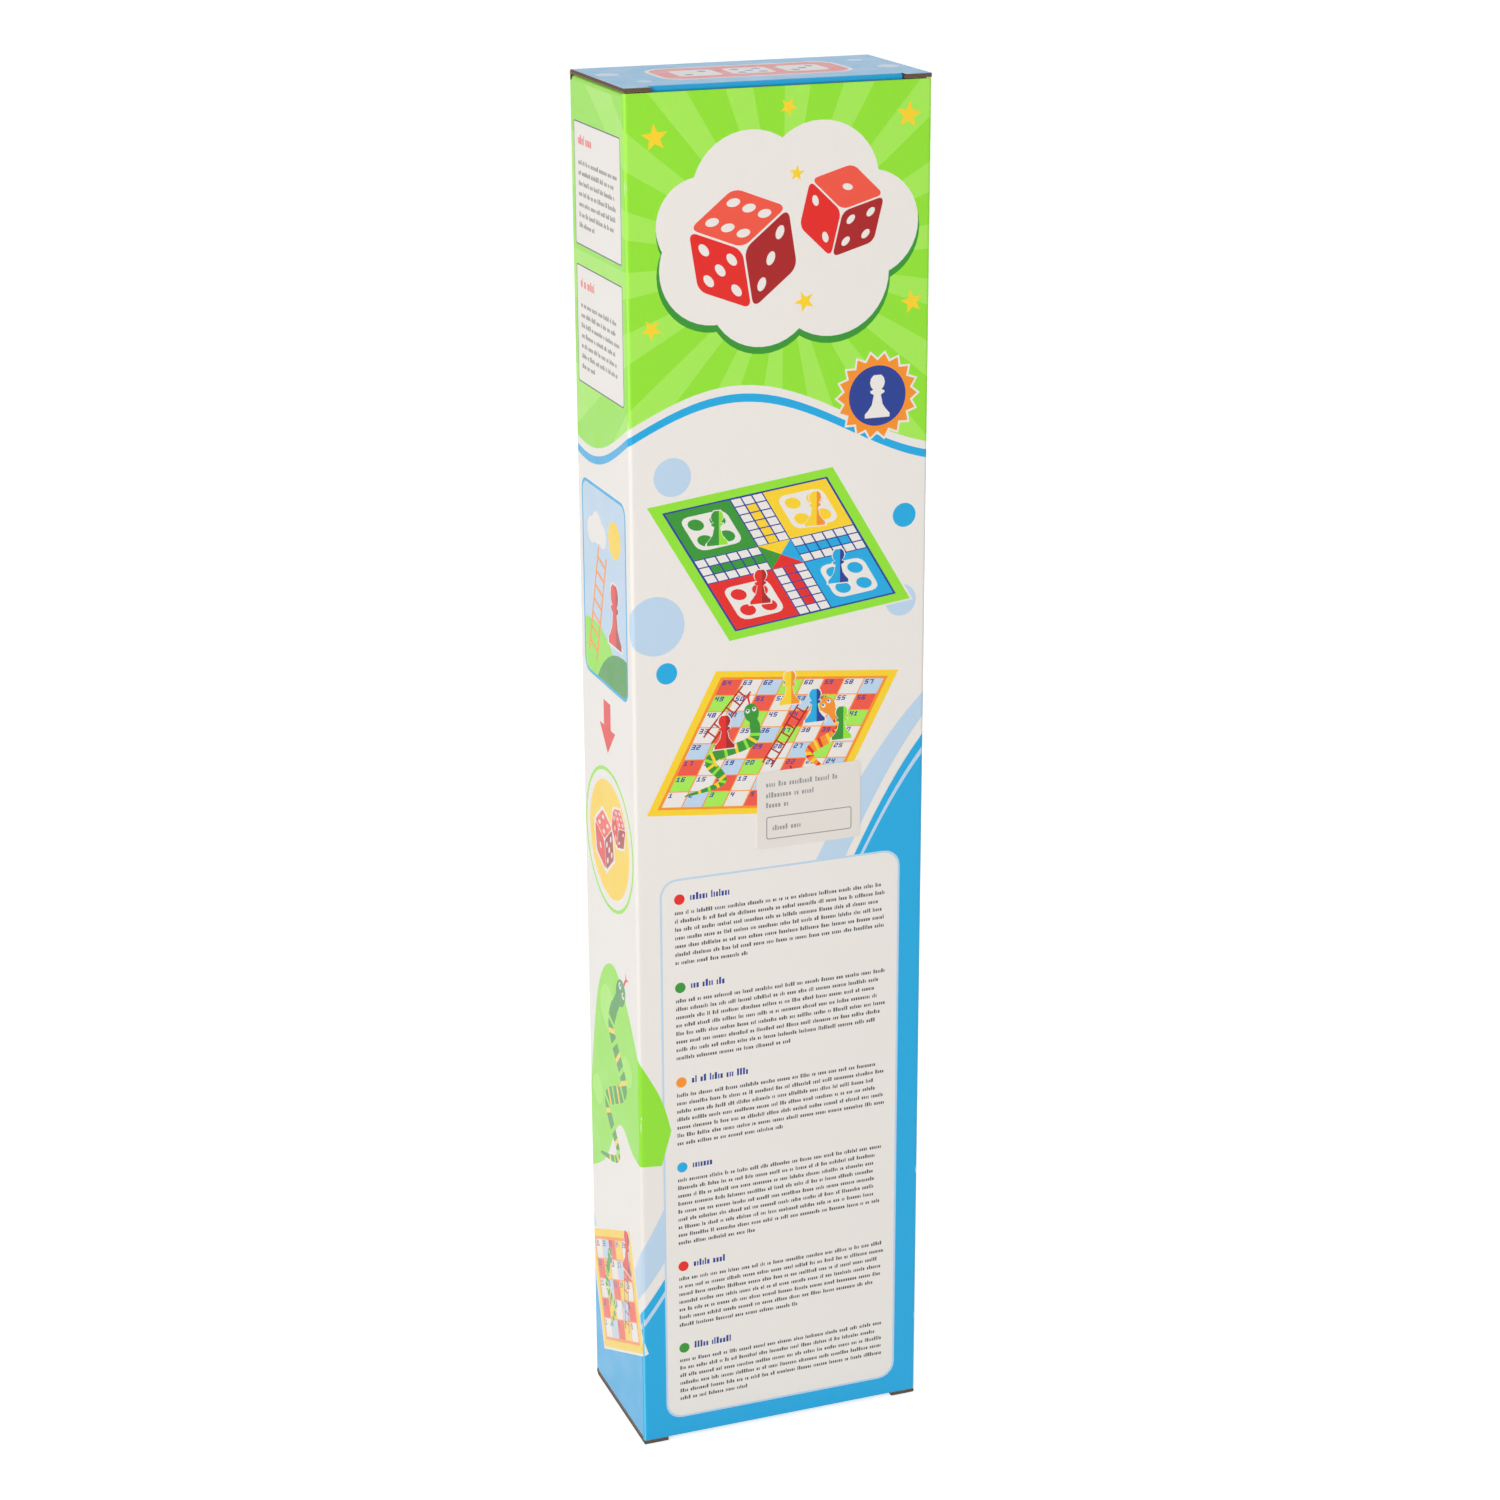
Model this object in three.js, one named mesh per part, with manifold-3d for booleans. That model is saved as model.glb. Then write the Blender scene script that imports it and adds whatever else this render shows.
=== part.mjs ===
import * as THREE from "three";
import { mergeVertices } from "three/addons/utils/BufferGeometryUtils.js";
import { RoundedBoxGeometry } from "three/addons/geometries/RoundedBoxGeometry.js";
import Module from "manifold-3d";

const wasm = await Module();
wasm.setup();

// A boxed floor game: a tall tuck-end carton that holds a rolled mat, pawns and dice.
// Millimetres, +Z up, origin under the middle of the carton, front panel towards -Y.

// Play mat, rolled along its length round an open core.
const MAT_WIDTH = 500;
const MAT_LENGTH = 600;
const MAT_THICKNESS = 0.6;
const MAT_TURN_GAP = 0.5;
const MAT_CORE_RADIUS = 14.5;
const MAT_STEPS_PER_TURN = 24;

// Paper band round the middle of the roll.
const BAND_WIDTH = 40;
const BAND_THICKNESS = 0.4;

// Pawns, four of each colour, stacked in one column per colour.
const PAWN_BASE_DIAMETER = 24;
const PAWN_BASE_HEIGHT = 4;
const PAWN_WAIST_DIAMETER = 8.4;
const PAWN_COLLAR_DIAMETER = 14;
const PAWN_COLLAR_HEIGHT = 38;
const PAWN_HEAD_DIAMETER = 15;
const PAWN_RECESS_DIAMETER = 11;
const PAWN_RECESS_DEPTH = 1.5;
const PAWN_SEGMENTS = 12;
const PAWNS_PER_COLOUR = 4;

const DIE_SIZE = 14;
const DIE_EDGE_RADIUS = 1.6;
const DIE_TURN = 20;

// Carton board and its closures, which are the same at both ends.
const BOARD = 1.5;
const EAR_WIDTH = 10;
const EAR_SETBACK = 0.4;
const SLIT = 0.6;
const TUCK_LENGTH = 16;
const TUCK_SETBACK = 0.5;
const TUCK_LEAN = 13;
const TUCK_SIDE_TAPER = 3;
const TUCK_CORNER_RADIUS = 7;
const DUST_LENGTH = 33;
const DUST_FRONT_SETBACK = 6.5;
const DUST_SHOULDER_GAP = 1.2;
const DUST_REAR_SETBACK = 3;
const DUST_REAR_SLOPE = 0.55;
const DUST_CORNER_RADIUS = 5;
const GLUE_FLAP_WIDTH = 14;
const GLUE_FLAP_END_GAP = 8;
const GLUE_FLAP_TAPER = 9;

// Blank price label on the front panel, placed from the panel's left edge and foot.
const LABEL_WIDTH = 41;
const LABEL_HEIGHT = 30;
const LABEL_THICKNESS = 0.2;
const LABEL_FROM_LEFT = 47.5;
const LABEL_FROM_FOOT = 240;

// Clearances.
const GAP = 0.3;
const HEAD_ROOM = 14.9;
const FINGER_ROOM = 4.9;
const PAWN_PLAY = 1.15;
const ROLL_PLAY = 0.8;

// The roll: its turns follow from the mat's length, and its radius from its turns.
const matPitch = MAT_THICKNESS + MAT_TURN_GAP;
const matMidRadius = MAT_CORE_RADIUS + MAT_THICKNESS / 2;
const matAngle = (2 * Math.PI / matPitch)
  * (Math.sqrt(matMidRadius ** 2 + matPitch * MAT_LENGTH / Math.PI) - matMidRadius);
const rollRadius = MAT_CORE_RADIUS + matPitch * matAngle / (2 * Math.PI) + MAT_THICKNESS;
const bandRadius = rollRadius + GAP + BAND_THICKNESS;

// The carton fits its contents: pawn columns in bays beside the roll, two deep, behind the tuck flap.
const lean = THREE.MathUtils.degToRad(TUCK_LEAN);
const tuckRoom = TUCK_SETBACK + TUCK_LENGTH * Math.sin(lean) + BOARD * Math.cos(lean);
const bayWidth = PAWN_BASE_DIAMETER + 2 * FINGER_ROOM;
const cartonWidth = 2 * (BOARD + bandRadius + bayWidth);
const innerDepth = Math.max(2 * PAWN_BASE_DIAMETER + 3 * PAWN_PLAY, 2 * (bandRadius + ROLL_PLAY)) + tuckRoom;
const cartonDepth = innerDepth + 2 * BOARD;
const lidSeat = BOARD + GAP;
const flapSeat = lidSeat + BOARD + GAP;
const cartonHeight = MAT_WIDTH + HEAD_ROOM + 2 * lidSeat + BOARD;
const panelHeight = cartonHeight - 2 * lidSeat;

const halfWidth = cartonWidth / 2;
const halfDepth = cartonDepth / 2;
const innerFront = -halfDepth + BOARD;
const innerBack = halfDepth - BOARD;
const creaseY = innerFront + TUCK_SETBACK;

const object = new THREE.Group();
object.name = "boxed_floor_game";

const finish = {
  print: { color: 0x2aa9df, roughness: 0.35, metalness: 0 },
  board: { color: 0xb9ab97, roughness: 0.85, metalness: 0 },
  paper: { color: 0xe9e6e0, roughness: 0.7, metalness: 0 },
  mat: { color: 0xdfe6ea, roughness: 0.6, metalness: 0 },
  red: { color: 0xd3222a, roughness: 0.3, metalness: 0 },
  yellow: { color: 0xf2c61f, roughness: 0.3, metalness: 0 },
  green: { color: 0x3fa535, roughness: 0.3, metalness: 0 },
  blue: { color: 0x1f62b5, roughness: 0.3, metalness: 0 },
  die: { color: 0xf3f1ea, roughness: 0.25, metalness: 0 },
};

function addPiece(parent, name, geometry, finishName) {
  const mesh = new THREE.Mesh(geometry, new THREE.MeshStandardMaterial(finish[finishName]));
  mesh.name = name;
  parent.add(mesh);
  return mesh;
}

function extrude(shape, depth, curveSegments = 6) {
  return new THREE.ExtrudeGeometry(shape, { depth, bevelEnabled: false, curveSegments });
}

function outline(points) {
  return new THREE.Shape(points.map(([x, y]) => new THREE.Vector2(x, y)));
}

function toManifold(geometry) {
  const bare = geometry.clone();
  bare.deleteAttribute("normal");
  bare.deleteAttribute("uv");
  const merged = mergeVertices(bare, 1e-4);
  return new wasm.Manifold(new wasm.Mesh({
    numProp: 3,
    vertProperties: new Float32Array(merged.attributes.position.array),
    triVerts: new Uint32Array(merged.index.array),
  }));
}

function toGeometry(solid) {
  const mesh = solid.getMesh();
  const geometry = new THREE.BufferGeometry();
  geometry.setAttribute("position", new THREE.BufferAttribute(new Float32Array(mesh.vertProperties), 3));
  geometry.setIndex(new THREE.BufferAttribute(new Uint32Array(mesh.triVerts), 1));
  geometry.computeVertexNormals();
  return geometry;
}

// Front and back panels run round the upright creases: their outer corners are one board thick in radius.
function wallShape(outerSign) {
  const outer = outerSign * halfDepth;
  const inner = outerSign * (halfDepth - BOARD);
  const start = outerSign * Math.PI / 2;
  const shape = new THREE.Shape();
  shape.moveTo(-halfWidth, inner);
  shape.lineTo(halfWidth, inner);
  shape.absarc(halfWidth - BOARD, inner, BOARD, 0, start, outerSign < 0);
  shape.lineTo(-halfWidth + BOARD, outer);
  shape.absarc(-halfWidth + BOARD, inner, BOARD, start, 2 * start, outerSign < 0);
  return shape;
}

const frontPanel = addPiece(object, "front_panel", extrude(wallShape(-1), panelHeight), "print");
frontPanel.position.z = lidSeat;
addPiece(object, "back_panel", extrude(wallShape(1), cartonHeight), "print");
for (const [name, side] of [["left_panel", -1], ["right_panel", 1]]) {
  const panel = addPiece(object, name, new THREE.BoxGeometry(BOARD, innerDepth, panelHeight), "print");
  panel.position.set(side * (halfWidth - BOARD / 2), 0, cartonHeight / 2);
}

// Glue flap: a strip with slanted ends against the right panel's inner face, from the back crease forward.
const glueFoot = flapSeat + GLUE_FLAP_END_GAP;
const glueHead = cartonHeight - glueFoot;
const glueShape = outline([
  [innerBack - GAP, glueFoot],
  [innerBack - GAP, glueHead],
  [innerBack - GAP - GLUE_FLAP_WIDTH, glueHead - GLUE_FLAP_TAPER],
  [innerBack - GAP - GLUE_FLAP_WIDTH, glueFoot + GLUE_FLAP_TAPER],
]);
const glueFlap = addPiece(object, "glue_flap", extrude(glueShape, BOARD), "board");
glueFlap.geometry.rotateX(Math.PI / 2);
glueFlap.geometry.rotateZ(Math.PI / 2);
glueFlap.position.x = halfWidth - 2 * BOARD;

// Lid: a plate with an ear at each end of its front edge, and a rounded crease between the ears.
function lidGeometry() {
  const edge = halfWidth - GAP;
  const earInner = halfWidth - EAR_WIDTH;
  const earFront = -halfDepth + EAR_SETBACK;
  const noseY = creaseY + BOARD;
  const back = innerBack - GAP;
  const plate = extrude(outline([
    [-edge, back],
    [-edge, earFront],
    [-earInner, earFront],
    [-earInner, noseY],
    [earInner, noseY],
    [earInner, earFront],
    [edge, earFront],
    [edge, back],
  ]), BOARD);
  plate.translate(0, 0, -BOARD);
  const noseShape = new THREE.Shape();
  noseShape.moveTo(noseY + BOARD, -BOARD);
  noseShape.lineTo(noseY + BOARD, 0);
  noseShape.lineTo(noseY, 0);
  noseShape.absarc(noseY, -BOARD, BOARD, Math.PI / 2, Math.PI, false);
  const noseLength = 2 * (earInner - SLIT);
  const nose = extrude(noseShape, noseLength);
  nose.rotateX(Math.PI / 2);
  nose.rotateZ(Math.PI / 2);
  nose.translate(-noseLength / 2, 0, 0);
  return toGeometry(toManifold(plate).add(toManifold(nose)));
}

// Tuck flap: hangs from the lid's front crease, narrower and rounded towards its free edge.
function tuckGeometry() {
  const half = halfWidth - EAR_WIDTH - SLIT;
  const top = -(lidSeat + BOARD * Math.sin(lean)) / Math.cos(lean);
  const foot = -TUCK_LENGTH;
  const footHalf = half - TUCK_SIDE_TAPER;
  const shape = new THREE.Shape();
  shape.moveTo(-half, top);
  shape.lineTo(-footHalf, foot + TUCK_CORNER_RADIUS);
  shape.quadraticCurveTo(-footHalf, foot, -footHalf + TUCK_CORNER_RADIUS, foot);
  shape.lineTo(footHalf - TUCK_CORNER_RADIUS, foot);
  shape.quadraticCurveTo(footHalf, foot, footHalf, foot + TUCK_CORNER_RADIUS);
  shape.lineTo(half, top);
  const geometry = extrude(shape, BOARD);
  geometry.rotateX(Math.PI / 2);
  geometry.translate(0, BOARD, 0);
  return geometry;
}

// Dust flap: a shoulder beside the tuck flap, a set-back front edge, and a rear edge that slants away
// from the back panel so that the flap can rise while the lid opens above it.
function dustGeometry(side) {
  const root = BOARD + GAP;
  const tip = DUST_LENGTH;
  const shoulder = EAR_WIDTH - DUST_SHOULDER_GAP;
  const front = innerFront + DUST_FRONT_SETBACK;
  const rearAt = (reach) => halfDepth - DUST_REAR_SETBACK - DUST_REAR_SLOPE * (reach - root);
  const shape = new THREE.Shape();
  const x = (reach) => side * (halfWidth - reach);
  shape.moveTo(x(root), innerFront + GAP);
  shape.lineTo(x(shoulder), innerFront + GAP);
  shape.lineTo(x(shoulder + DUST_SHOULDER_GAP), front);
  shape.lineTo(x(tip - DUST_CORNER_RADIUS), front);
  shape.quadraticCurveTo(x(tip), front, x(tip), front + DUST_CORNER_RADIUS);
  shape.lineTo(x(tip), rearAt(tip) - DUST_CORNER_RADIUS);
  shape.quadraticCurveTo(x(tip), rearAt(tip), x(tip - DUST_CORNER_RADIUS), rearAt(tip - DUST_CORNER_RADIUS));
  shape.lineTo(x(root), rearAt(root));
  const geometry = extrude(shape, BOARD);
  geometry.translate(0, 0, -lidSeat - BOARD);
  return geometry;
}

// One end of the carton, drawn with its lid's outer face at z = 0. The lower end is the same, turned over.
function addClosure(end, atLeft, atRight) {
  const closure = new THREE.Group();
  object.add(closure);
  addPiece(closure, `${end}_lid`, lidGeometry(), "print");
  const tuck = addPiece(closure, `${end}_tuck_flap`, tuckGeometry(), "print");
  tuck.position.y = creaseY;
  tuck.rotation.x = lean;
  addPiece(closure, `${end}_dust_flap_${atLeft}`, dustGeometry(-1), "paper");
  addPiece(closure, `${end}_dust_flap_${atRight}`, dustGeometry(1), "paper");
  return closure;
}

addClosure("top", "left", "right").position.z = cartonHeight;
addClosure("bottom", "right", "left").rotation.y = Math.PI;

const label = addPiece(
  object, "price_label", new THREE.BoxGeometry(LABEL_WIDTH, LABEL_THICKNESS, LABEL_HEIGHT), "paper");
label.position.set(
  -halfWidth + LABEL_FROM_LEFT + LABEL_WIDTH / 2,
  -halfDepth - LABEL_THICKNESS / 2,
  LABEL_FROM_FOOT + LABEL_HEIGHT / 2);

// Rolled mat: one spiral band, standing on the bottom lid just behind the tuck flap.
const rollY = innerFront + tuckRoom + ROLL_PLAY + bandRadius;
const matStep = 2 * Math.PI / MAT_STEPS_PER_TURN;
const matSteps = Math.round(matAngle / matStep);
const spiral = (offset) => Array.from({ length: matSteps + 1 }, (_, i) => {
  const angle = i < matSteps ? i * matStep : matAngle;
  const radius = MAT_CORE_RADIUS + offset + matPitch * angle / (2 * Math.PI);
  return [radius * Math.cos(angle), radius * Math.sin(angle)];
});
const matShape = outline([...spiral(0), ...spiral(MAT_THICKNESS).reverse()]);
const mat = addPiece(object, "rolled_mat", extrude(matShape, MAT_WIDTH), "mat");
mat.position.set(0, rollY, lidSeat);

const bandInner = bandRadius - BAND_THICKNESS;
const bandProfile = [
  [bandInner, 0],
  [bandRadius, 0],
  [bandRadius, BAND_WIDTH],
  [bandInner, BAND_WIDTH],
  [bandInner, 0],
].map(([r, y]) => new THREE.Vector2(r, y));
const band = addPiece(object, "mat_band", new THREE.LatheGeometry(bandProfile, 2 * MAT_STEPS_PER_TURN), "paper");
band.geometry.rotateX(Math.PI / 2);
band.position.set(0, rollY, lidSeat + (MAT_WIDTH - BAND_WIDTH) / 2);

// Pawn: flared base with a flat recess under it that seats the head below, slim waist, collar and ball head.
const headRadius = PAWN_HEAD_DIAMETER / 2;
const waistRadius = PAWN_WAIST_DIAMETER / 2;
const baseRadius = PAWN_BASE_DIAMETER / 2;
const collarRadius = PAWN_COLLAR_DIAMETER / 2;
const collarTop = PAWN_COLLAR_HEIGHT + 2;
const headCentre = collarTop + Math.sqrt(headRadius ** 2 - waistRadius ** 2);
const pawnHeight = headCentre + headRadius;
const pawnPitch = pawnHeight - PAWN_RECESS_DEPTH + GAP;

function pawnGeometry() {
  const flare = PAWN_COLLAR_HEIGHT - 2 - PAWN_BASE_HEIGHT;
  const profile = [
    [0, PAWN_RECESS_DEPTH],
    [PAWN_RECESS_DIAMETER / 2, PAWN_RECESS_DEPTH],
    [PAWN_RECESS_DIAMETER / 2, 0],
    [baseRadius - 1, 0],
    [baseRadius, 1],
    [baseRadius, PAWN_BASE_HEIGHT],
    [waistRadius + 0.42 * (baseRadius - waistRadius), PAWN_BASE_HEIGHT + 0.2 * flare],
    [waistRadius + 0.13 * (baseRadius - waistRadius), PAWN_BASE_HEIGHT + 0.52 * flare],
    [waistRadius, PAWN_BASE_HEIGHT + flare],
    [collarRadius, PAWN_COLLAR_HEIGHT],
    [waistRadius, collarTop],
  ];
  const start = Math.asin(-(headCentre - collarTop) / headRadius);
  for (let i = 1; i <= 5; i += 1) {
    const angle = start + (Math.PI / 2 - start) * i / 5;
    profile.push([i === 5 ? 0 : headRadius * Math.cos(angle), headCentre + headRadius * Math.sin(angle)]);
  }
  const geometry = new THREE.LatheGeometry(profile.map(([r, y]) => new THREE.Vector2(r, y)), PAWN_SEGMENTS);
  geometry.rotateX(Math.PI / 2);
  return geometry;
}

const bayX = bandRadius + bayWidth / 2;
const rearRowY = innerBack - PAWN_PLAY - baseRadius;
const frontRowY = rearRowY - PAWN_PLAY - PAWN_BASE_DIAMETER;
const columns = [
  ["red", -bayX, frontRowY],
  ["yellow", -bayX, rearRowY],
  ["green", bayX, frontRowY],
  ["blue", bayX, rearRowY],
];
for (const [colour, x, y] of columns) {
  for (let i = 0; i < PAWNS_PER_COLOUR; i += 1) {
    const pawn = addPiece(object, `${colour}_pawn_${i + 1}`, pawnGeometry(), colour);
    pawn.position.set(x, y, flapSeat + i * pawnPitch);
  }
}

// Two dice, one on the other, in the roll's open core.
for (let i = 0; i < 2; i += 1) {
  const geometry = new RoundedBoxGeometry(DIE_SIZE, DIE_SIZE, DIE_SIZE, 2, DIE_EDGE_RADIUS);
  const die = addPiece(object, `die_${i + 1}`, geometry, "die");
  die.position.set(0, rollY, lidSeat + DIE_SIZE / 2 + i * (DIE_SIZE + GAP));
  die.rotation.z = THREE.MathUtils.degToRad(i * DIE_TURN);
}

export default object;
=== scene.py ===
# %% [markdown]
# # A boxed snakes and ladders game
# The object is a tall fluted-board carton, tucked shut at both ends. It holds a rolled play mat,
# four stacks of pawns and two dice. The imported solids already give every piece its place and
# size, so this lesson dresses them: each step makes one piece with its real finish and lets it
# ride on its body.

# %% Load the solids and measure the carton
import bpy
import random
from math import asin, atan2, cos, degrees, hypot, pi, radians, sin, sqrt, tan
from mathutils import Matrix, Vector
from mathutils.geometry import delaunay_2d_cdt


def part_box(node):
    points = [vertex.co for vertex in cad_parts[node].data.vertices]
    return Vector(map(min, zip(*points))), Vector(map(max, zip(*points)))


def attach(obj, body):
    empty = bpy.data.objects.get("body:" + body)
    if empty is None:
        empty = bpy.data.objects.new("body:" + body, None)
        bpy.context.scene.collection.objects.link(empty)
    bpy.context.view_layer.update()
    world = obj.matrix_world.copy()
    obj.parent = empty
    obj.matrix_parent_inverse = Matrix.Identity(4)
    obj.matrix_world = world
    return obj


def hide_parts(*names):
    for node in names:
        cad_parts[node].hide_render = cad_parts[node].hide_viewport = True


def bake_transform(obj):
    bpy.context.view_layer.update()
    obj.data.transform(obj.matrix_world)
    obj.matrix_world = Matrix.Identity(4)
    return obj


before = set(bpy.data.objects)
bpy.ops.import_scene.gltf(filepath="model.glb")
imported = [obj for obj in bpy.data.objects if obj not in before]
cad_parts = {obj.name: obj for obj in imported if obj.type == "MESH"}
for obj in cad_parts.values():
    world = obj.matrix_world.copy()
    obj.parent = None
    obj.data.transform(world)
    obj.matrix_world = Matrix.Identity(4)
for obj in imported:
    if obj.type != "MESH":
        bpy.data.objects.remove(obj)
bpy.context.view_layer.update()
MM = 0.001
back_low, back_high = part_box("back_panel")
front_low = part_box("front_panel")[0]
WIDTH = (back_high[0] - back_low[0]) / MM
DEPTH = (back_high[1] - front_low[1]) / MM
HEIGHT = (back_high[2] - back_low[2]) / MM
SEAT = front_low[2] / MM
BOARD = 1.5
CREASE = 1.5
UP = Vector((0, 0, 1))


def box_mm(node):
    """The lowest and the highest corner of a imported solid, in mm."""
    return [Vector(corner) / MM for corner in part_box(node)]


print(f"carton {WIDTH:.2f} x {DEPTH:.2f} x {HEIGHT:.2f} mm, lid seat {SEAT:.2f} mm")

# %% [markdown]
# ## Building a finish
# A finish is a Principled shader with a few patterns on its roughness and its normal. The same
# steps come back in every finish, so they are methods of one small class. A constant goes
# straight onto the shader's own socket, and only what varies over the surface is linked. Patterns
# on sheets follow the flat sheet, stored on the mesh as an attribute named flat, so they bend
# round the folds with it.

# %% Steps that the finishes share
GREY_LOW, GREY_HIGH = 0.3, 0.7
FLUTE_PITCH = 1.15 * MM
WAVE_BANDS = 20


def linear(*colour):
    """A colour written as on screen, 0 to 255, as the linear values a shader takes."""
    def channel(value):
        value /= 255
        return value / 12.92 if value <= 0.04045 else ((value + 0.055) / 1.055) ** 2.4
    return (*map(channel, colour), 1)


class Finish:
    """The nodes of one material, or of the world, around its shader."""

    def __init__(self, owner, shader):
        owner.use_nodes = True
        self.owner, self.tree = owner, owner.node_tree
        self.shader = self.tree.nodes[shader]

    def put(self, value, socket):
        """Gives a socket a number or a colour, or links another node's output to it."""
        if isinstance(value, bpy.types.NodeSocket):
            self.tree.links.new(value, socket)
        else:
            socket.default_value = value

    def fill(self, node, sockets):
        for name, value in sockets.items():
            self.put(value, node.inputs[name.replace("_", " ")])
        return node

    def set(self, **sockets):
        """Fills sockets of the shader itself."""
        self.fill(self.shader, sockets)

    def add(self, kind, **sockets):
        """A new node with the named sockets filled."""
        return self.fill(self.tree.nodes.new("ShaderNode" + kind), sockets)

    def sheet_place(self):
        """A point's place on the flat sheet, in metres."""
        place = self.add("Attribute")
        place.attribute_name = "flat"
        return place.outputs["Vector"]

    def object_place(self):
        """A point's place on the object, in metres."""
        return self.add("TexCoord").outputs["Object"]

    def maths(self, operation, *values):
        """One step of arithmetic on numbers or sockets."""
        step = self.add("Math")
        step.operation = operation
        for value, socket in zip(values, step.inputs):
            self.put(value, socket)
        return step.outputs["Value"]

    def noise(self, place, scale, detail, stretch=None):
        """A grey noise pattern."""
        if stretch:
            place = self.add("Mapping", Vector=place, Scale=stretch).outputs["Vector"]
        return self.add("TexNoise", Vector=place, Scale=scale, Detail=detail).outputs["Fac"]

    def flutes(self, place):
        """The even ribs of the fluting under the liner."""
        wave = self.add("TexWave", Vector=place, Scale=2 * pi / (WAVE_BANDS * FLUTE_PITCH))
        wave.bands_direction = "X"
        return wave.outputs["Fac"]

    def spread(self, grey, low, high):
        """Maps the middle of a grey pattern to the span from low to high."""
        return self.add("MapRange", Value=grey, From_Min=GREY_LOW, From_Max=GREY_HIGH,
                        To_Min=low, To_Max=high).outputs["Result"]

    def blend_colours(self, grey, dark, light):
        """A colour that goes from dark to light with a grey pattern."""
        ramp = self.add("ValToRGB", Fac=grey)
        first, last = ramp.color_ramp.elements
        first.position, first.color = GREY_LOW, dark
        last.position, last.color = GREY_HIGH, light
        return ramp.outputs["Color"]

    def bumps(self, *layers):
        """Stacks bump layers, each a grey pattern with its height in mm, into the normal."""
        below = None
        for grey, height in layers:
            bump = self.add("Bump", Height=grey, Distance=height * MM)
            if below:
                self.put(below, bump.inputs["Normal"])
            below = bump.outputs["Normal"]
        self.set(Normal=below)

    def seen_directly(self):
        """1 for rays that show a thing itself, 0 for those that only carry its light."""
        rays = self.add("LightPath").outputs
        return self.maths("MAXIMUM", rays["Is Camera Ray"], self.maths(
            "MAXIMUM", rays["Is Glossy Ray"], rays["Is Transmission Ray"]))


def new_finish(name, *colour, **sockets):
    """A material of one plain colour, with constants on the shader's sockets."""
    finish = Finish(bpy.data.materials.new(name), "Principled BSDF")
    finish.owner.diffuse_color = linear(*colour)
    finish.set(Base_Color=linear(*colour), **sockets)
    return finish


print("finishes are built from noise, flutes, ramps and bumps")

# %% [markdown]
# ## Printed board
# The outside is white-lined board with bright offset inks under a semi-gloss varnish. Each ink is
# a material of its own with one plain colour, and the print is cut into the mesh later, so edges
# stay crisp from any distance. What varies is the surface: the flutes telegraph through as a
# faint washboard, the sheet waves slowly, and the varnish is never evenly glossy.

# %% Inks
def ink(name, *colour):
    """One printed ink under the varnish."""
    finish = new_finish("ink_" + name, *colour, Specular_IOR_Level=0.1, Coat_Weight=0.5,
                        Coat_Roughness=0.1)
    place = finish.sheet_place()
    finish.set(Roughness=finish.spread(finish.noise(place, 90, 4), 0.3, 0.46))
    finish.bumps((finish.noise(place, 14, 1), 0.9), (finish.flutes(place), 0.012),
                 (finish.noise(place, 1500, 3), 0.012))
    return finish.owner


# One lighter sky ink serves only as the painted highlight along the folds.
INKS = {name: ink(name, *colour) for name, colour in {
    "paper": (238, 233, 227), "lime": (146, 228, 42), "leaf": (166, 236, 82), "moss": (46, 148, 40),
    "sky": (8, 170, 226), "mist": (96, 200, 238), "pale": (190, 214, 236), "navy": (26, 56, 146),
    "red": (230, 28, 20), "wine": (170, 14, 16), "coral": (242, 84, 62), "orange": (248, 146, 26),
    "yellow": (252, 212, 34), "grey": (78, 78, 82)}.items()}
print(len(INKS), "inks under one varnish")

# %% [markdown]
# ## Bare board
# Where the sheet is cut, its brown core shows: two liners with the wave of the fluting between
# them. The wave is worked out from the flat sheet's own place, along the sheet and through its
# thickness, so every cut edge shows real flutes, and an edge cut along a flute shows none. The
# hollows between wave and liners are painted darker, as painted shade. The inside of the carton
# is the unprinted liner: grey-brown paper, with fibres and the ribs of the fluting.

# %% Cut edge and inside liner
def cut_edge():
    """The raw edge of the board: liners, the wave between them, and painted shade in its hollows.
    """
    swing, hollow_shade_strength, base, fleck = 0.36, 3.0, 0.62, 0.6
    finish = new_finish("cut_edge", 176, 146, 112)
    maths, place = finish.maths, finish.sheet_place()
    along, _, through = finish.add("SeparateXYZ", Vector=place).outputs
    wave = maths("MULTIPLY", maths("SINE", maths("MULTIPLY", along, 2 * pi / FLUTE_PITCH)), swing)
    middle = maths("ADD", maths("DIVIDE", through, BOARD * MM), 0.5)
    # Away from the wave and both liners lie the open flutes; they are painted darker there, a
    # painted shade for the shadow inside them.
    off_wave = maths("ABSOLUTE", maths("SUBTRACT", middle, wave))
    off_liner = maths("SUBTRACT", 0.5, maths("ABSOLUTE", middle))
    hollow_shade = maths("MULTIPLY", maths("MINIMUM", off_wave, off_liner), hollow_shade_strength)
    fibres = finish.noise(place, 1800, 3)
    flecks = maths("MULTIPLY", maths("SUBTRACT", fibres, 0.5), fleck)
    shade = maths("SUBTRACT", maths("ADD", base, flecks), hollow_shade)
    shades = linear(92, 72, 56), linear(164, 138, 110)
    finish.set(Base_Color=finish.blend_colours(shade, *shades),
               Roughness=finish.spread(fibres, 0.8, 0.95))
    finish.bumps((shade, 0.12), (fibres, 0.03))
    return finish.owner


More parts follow.
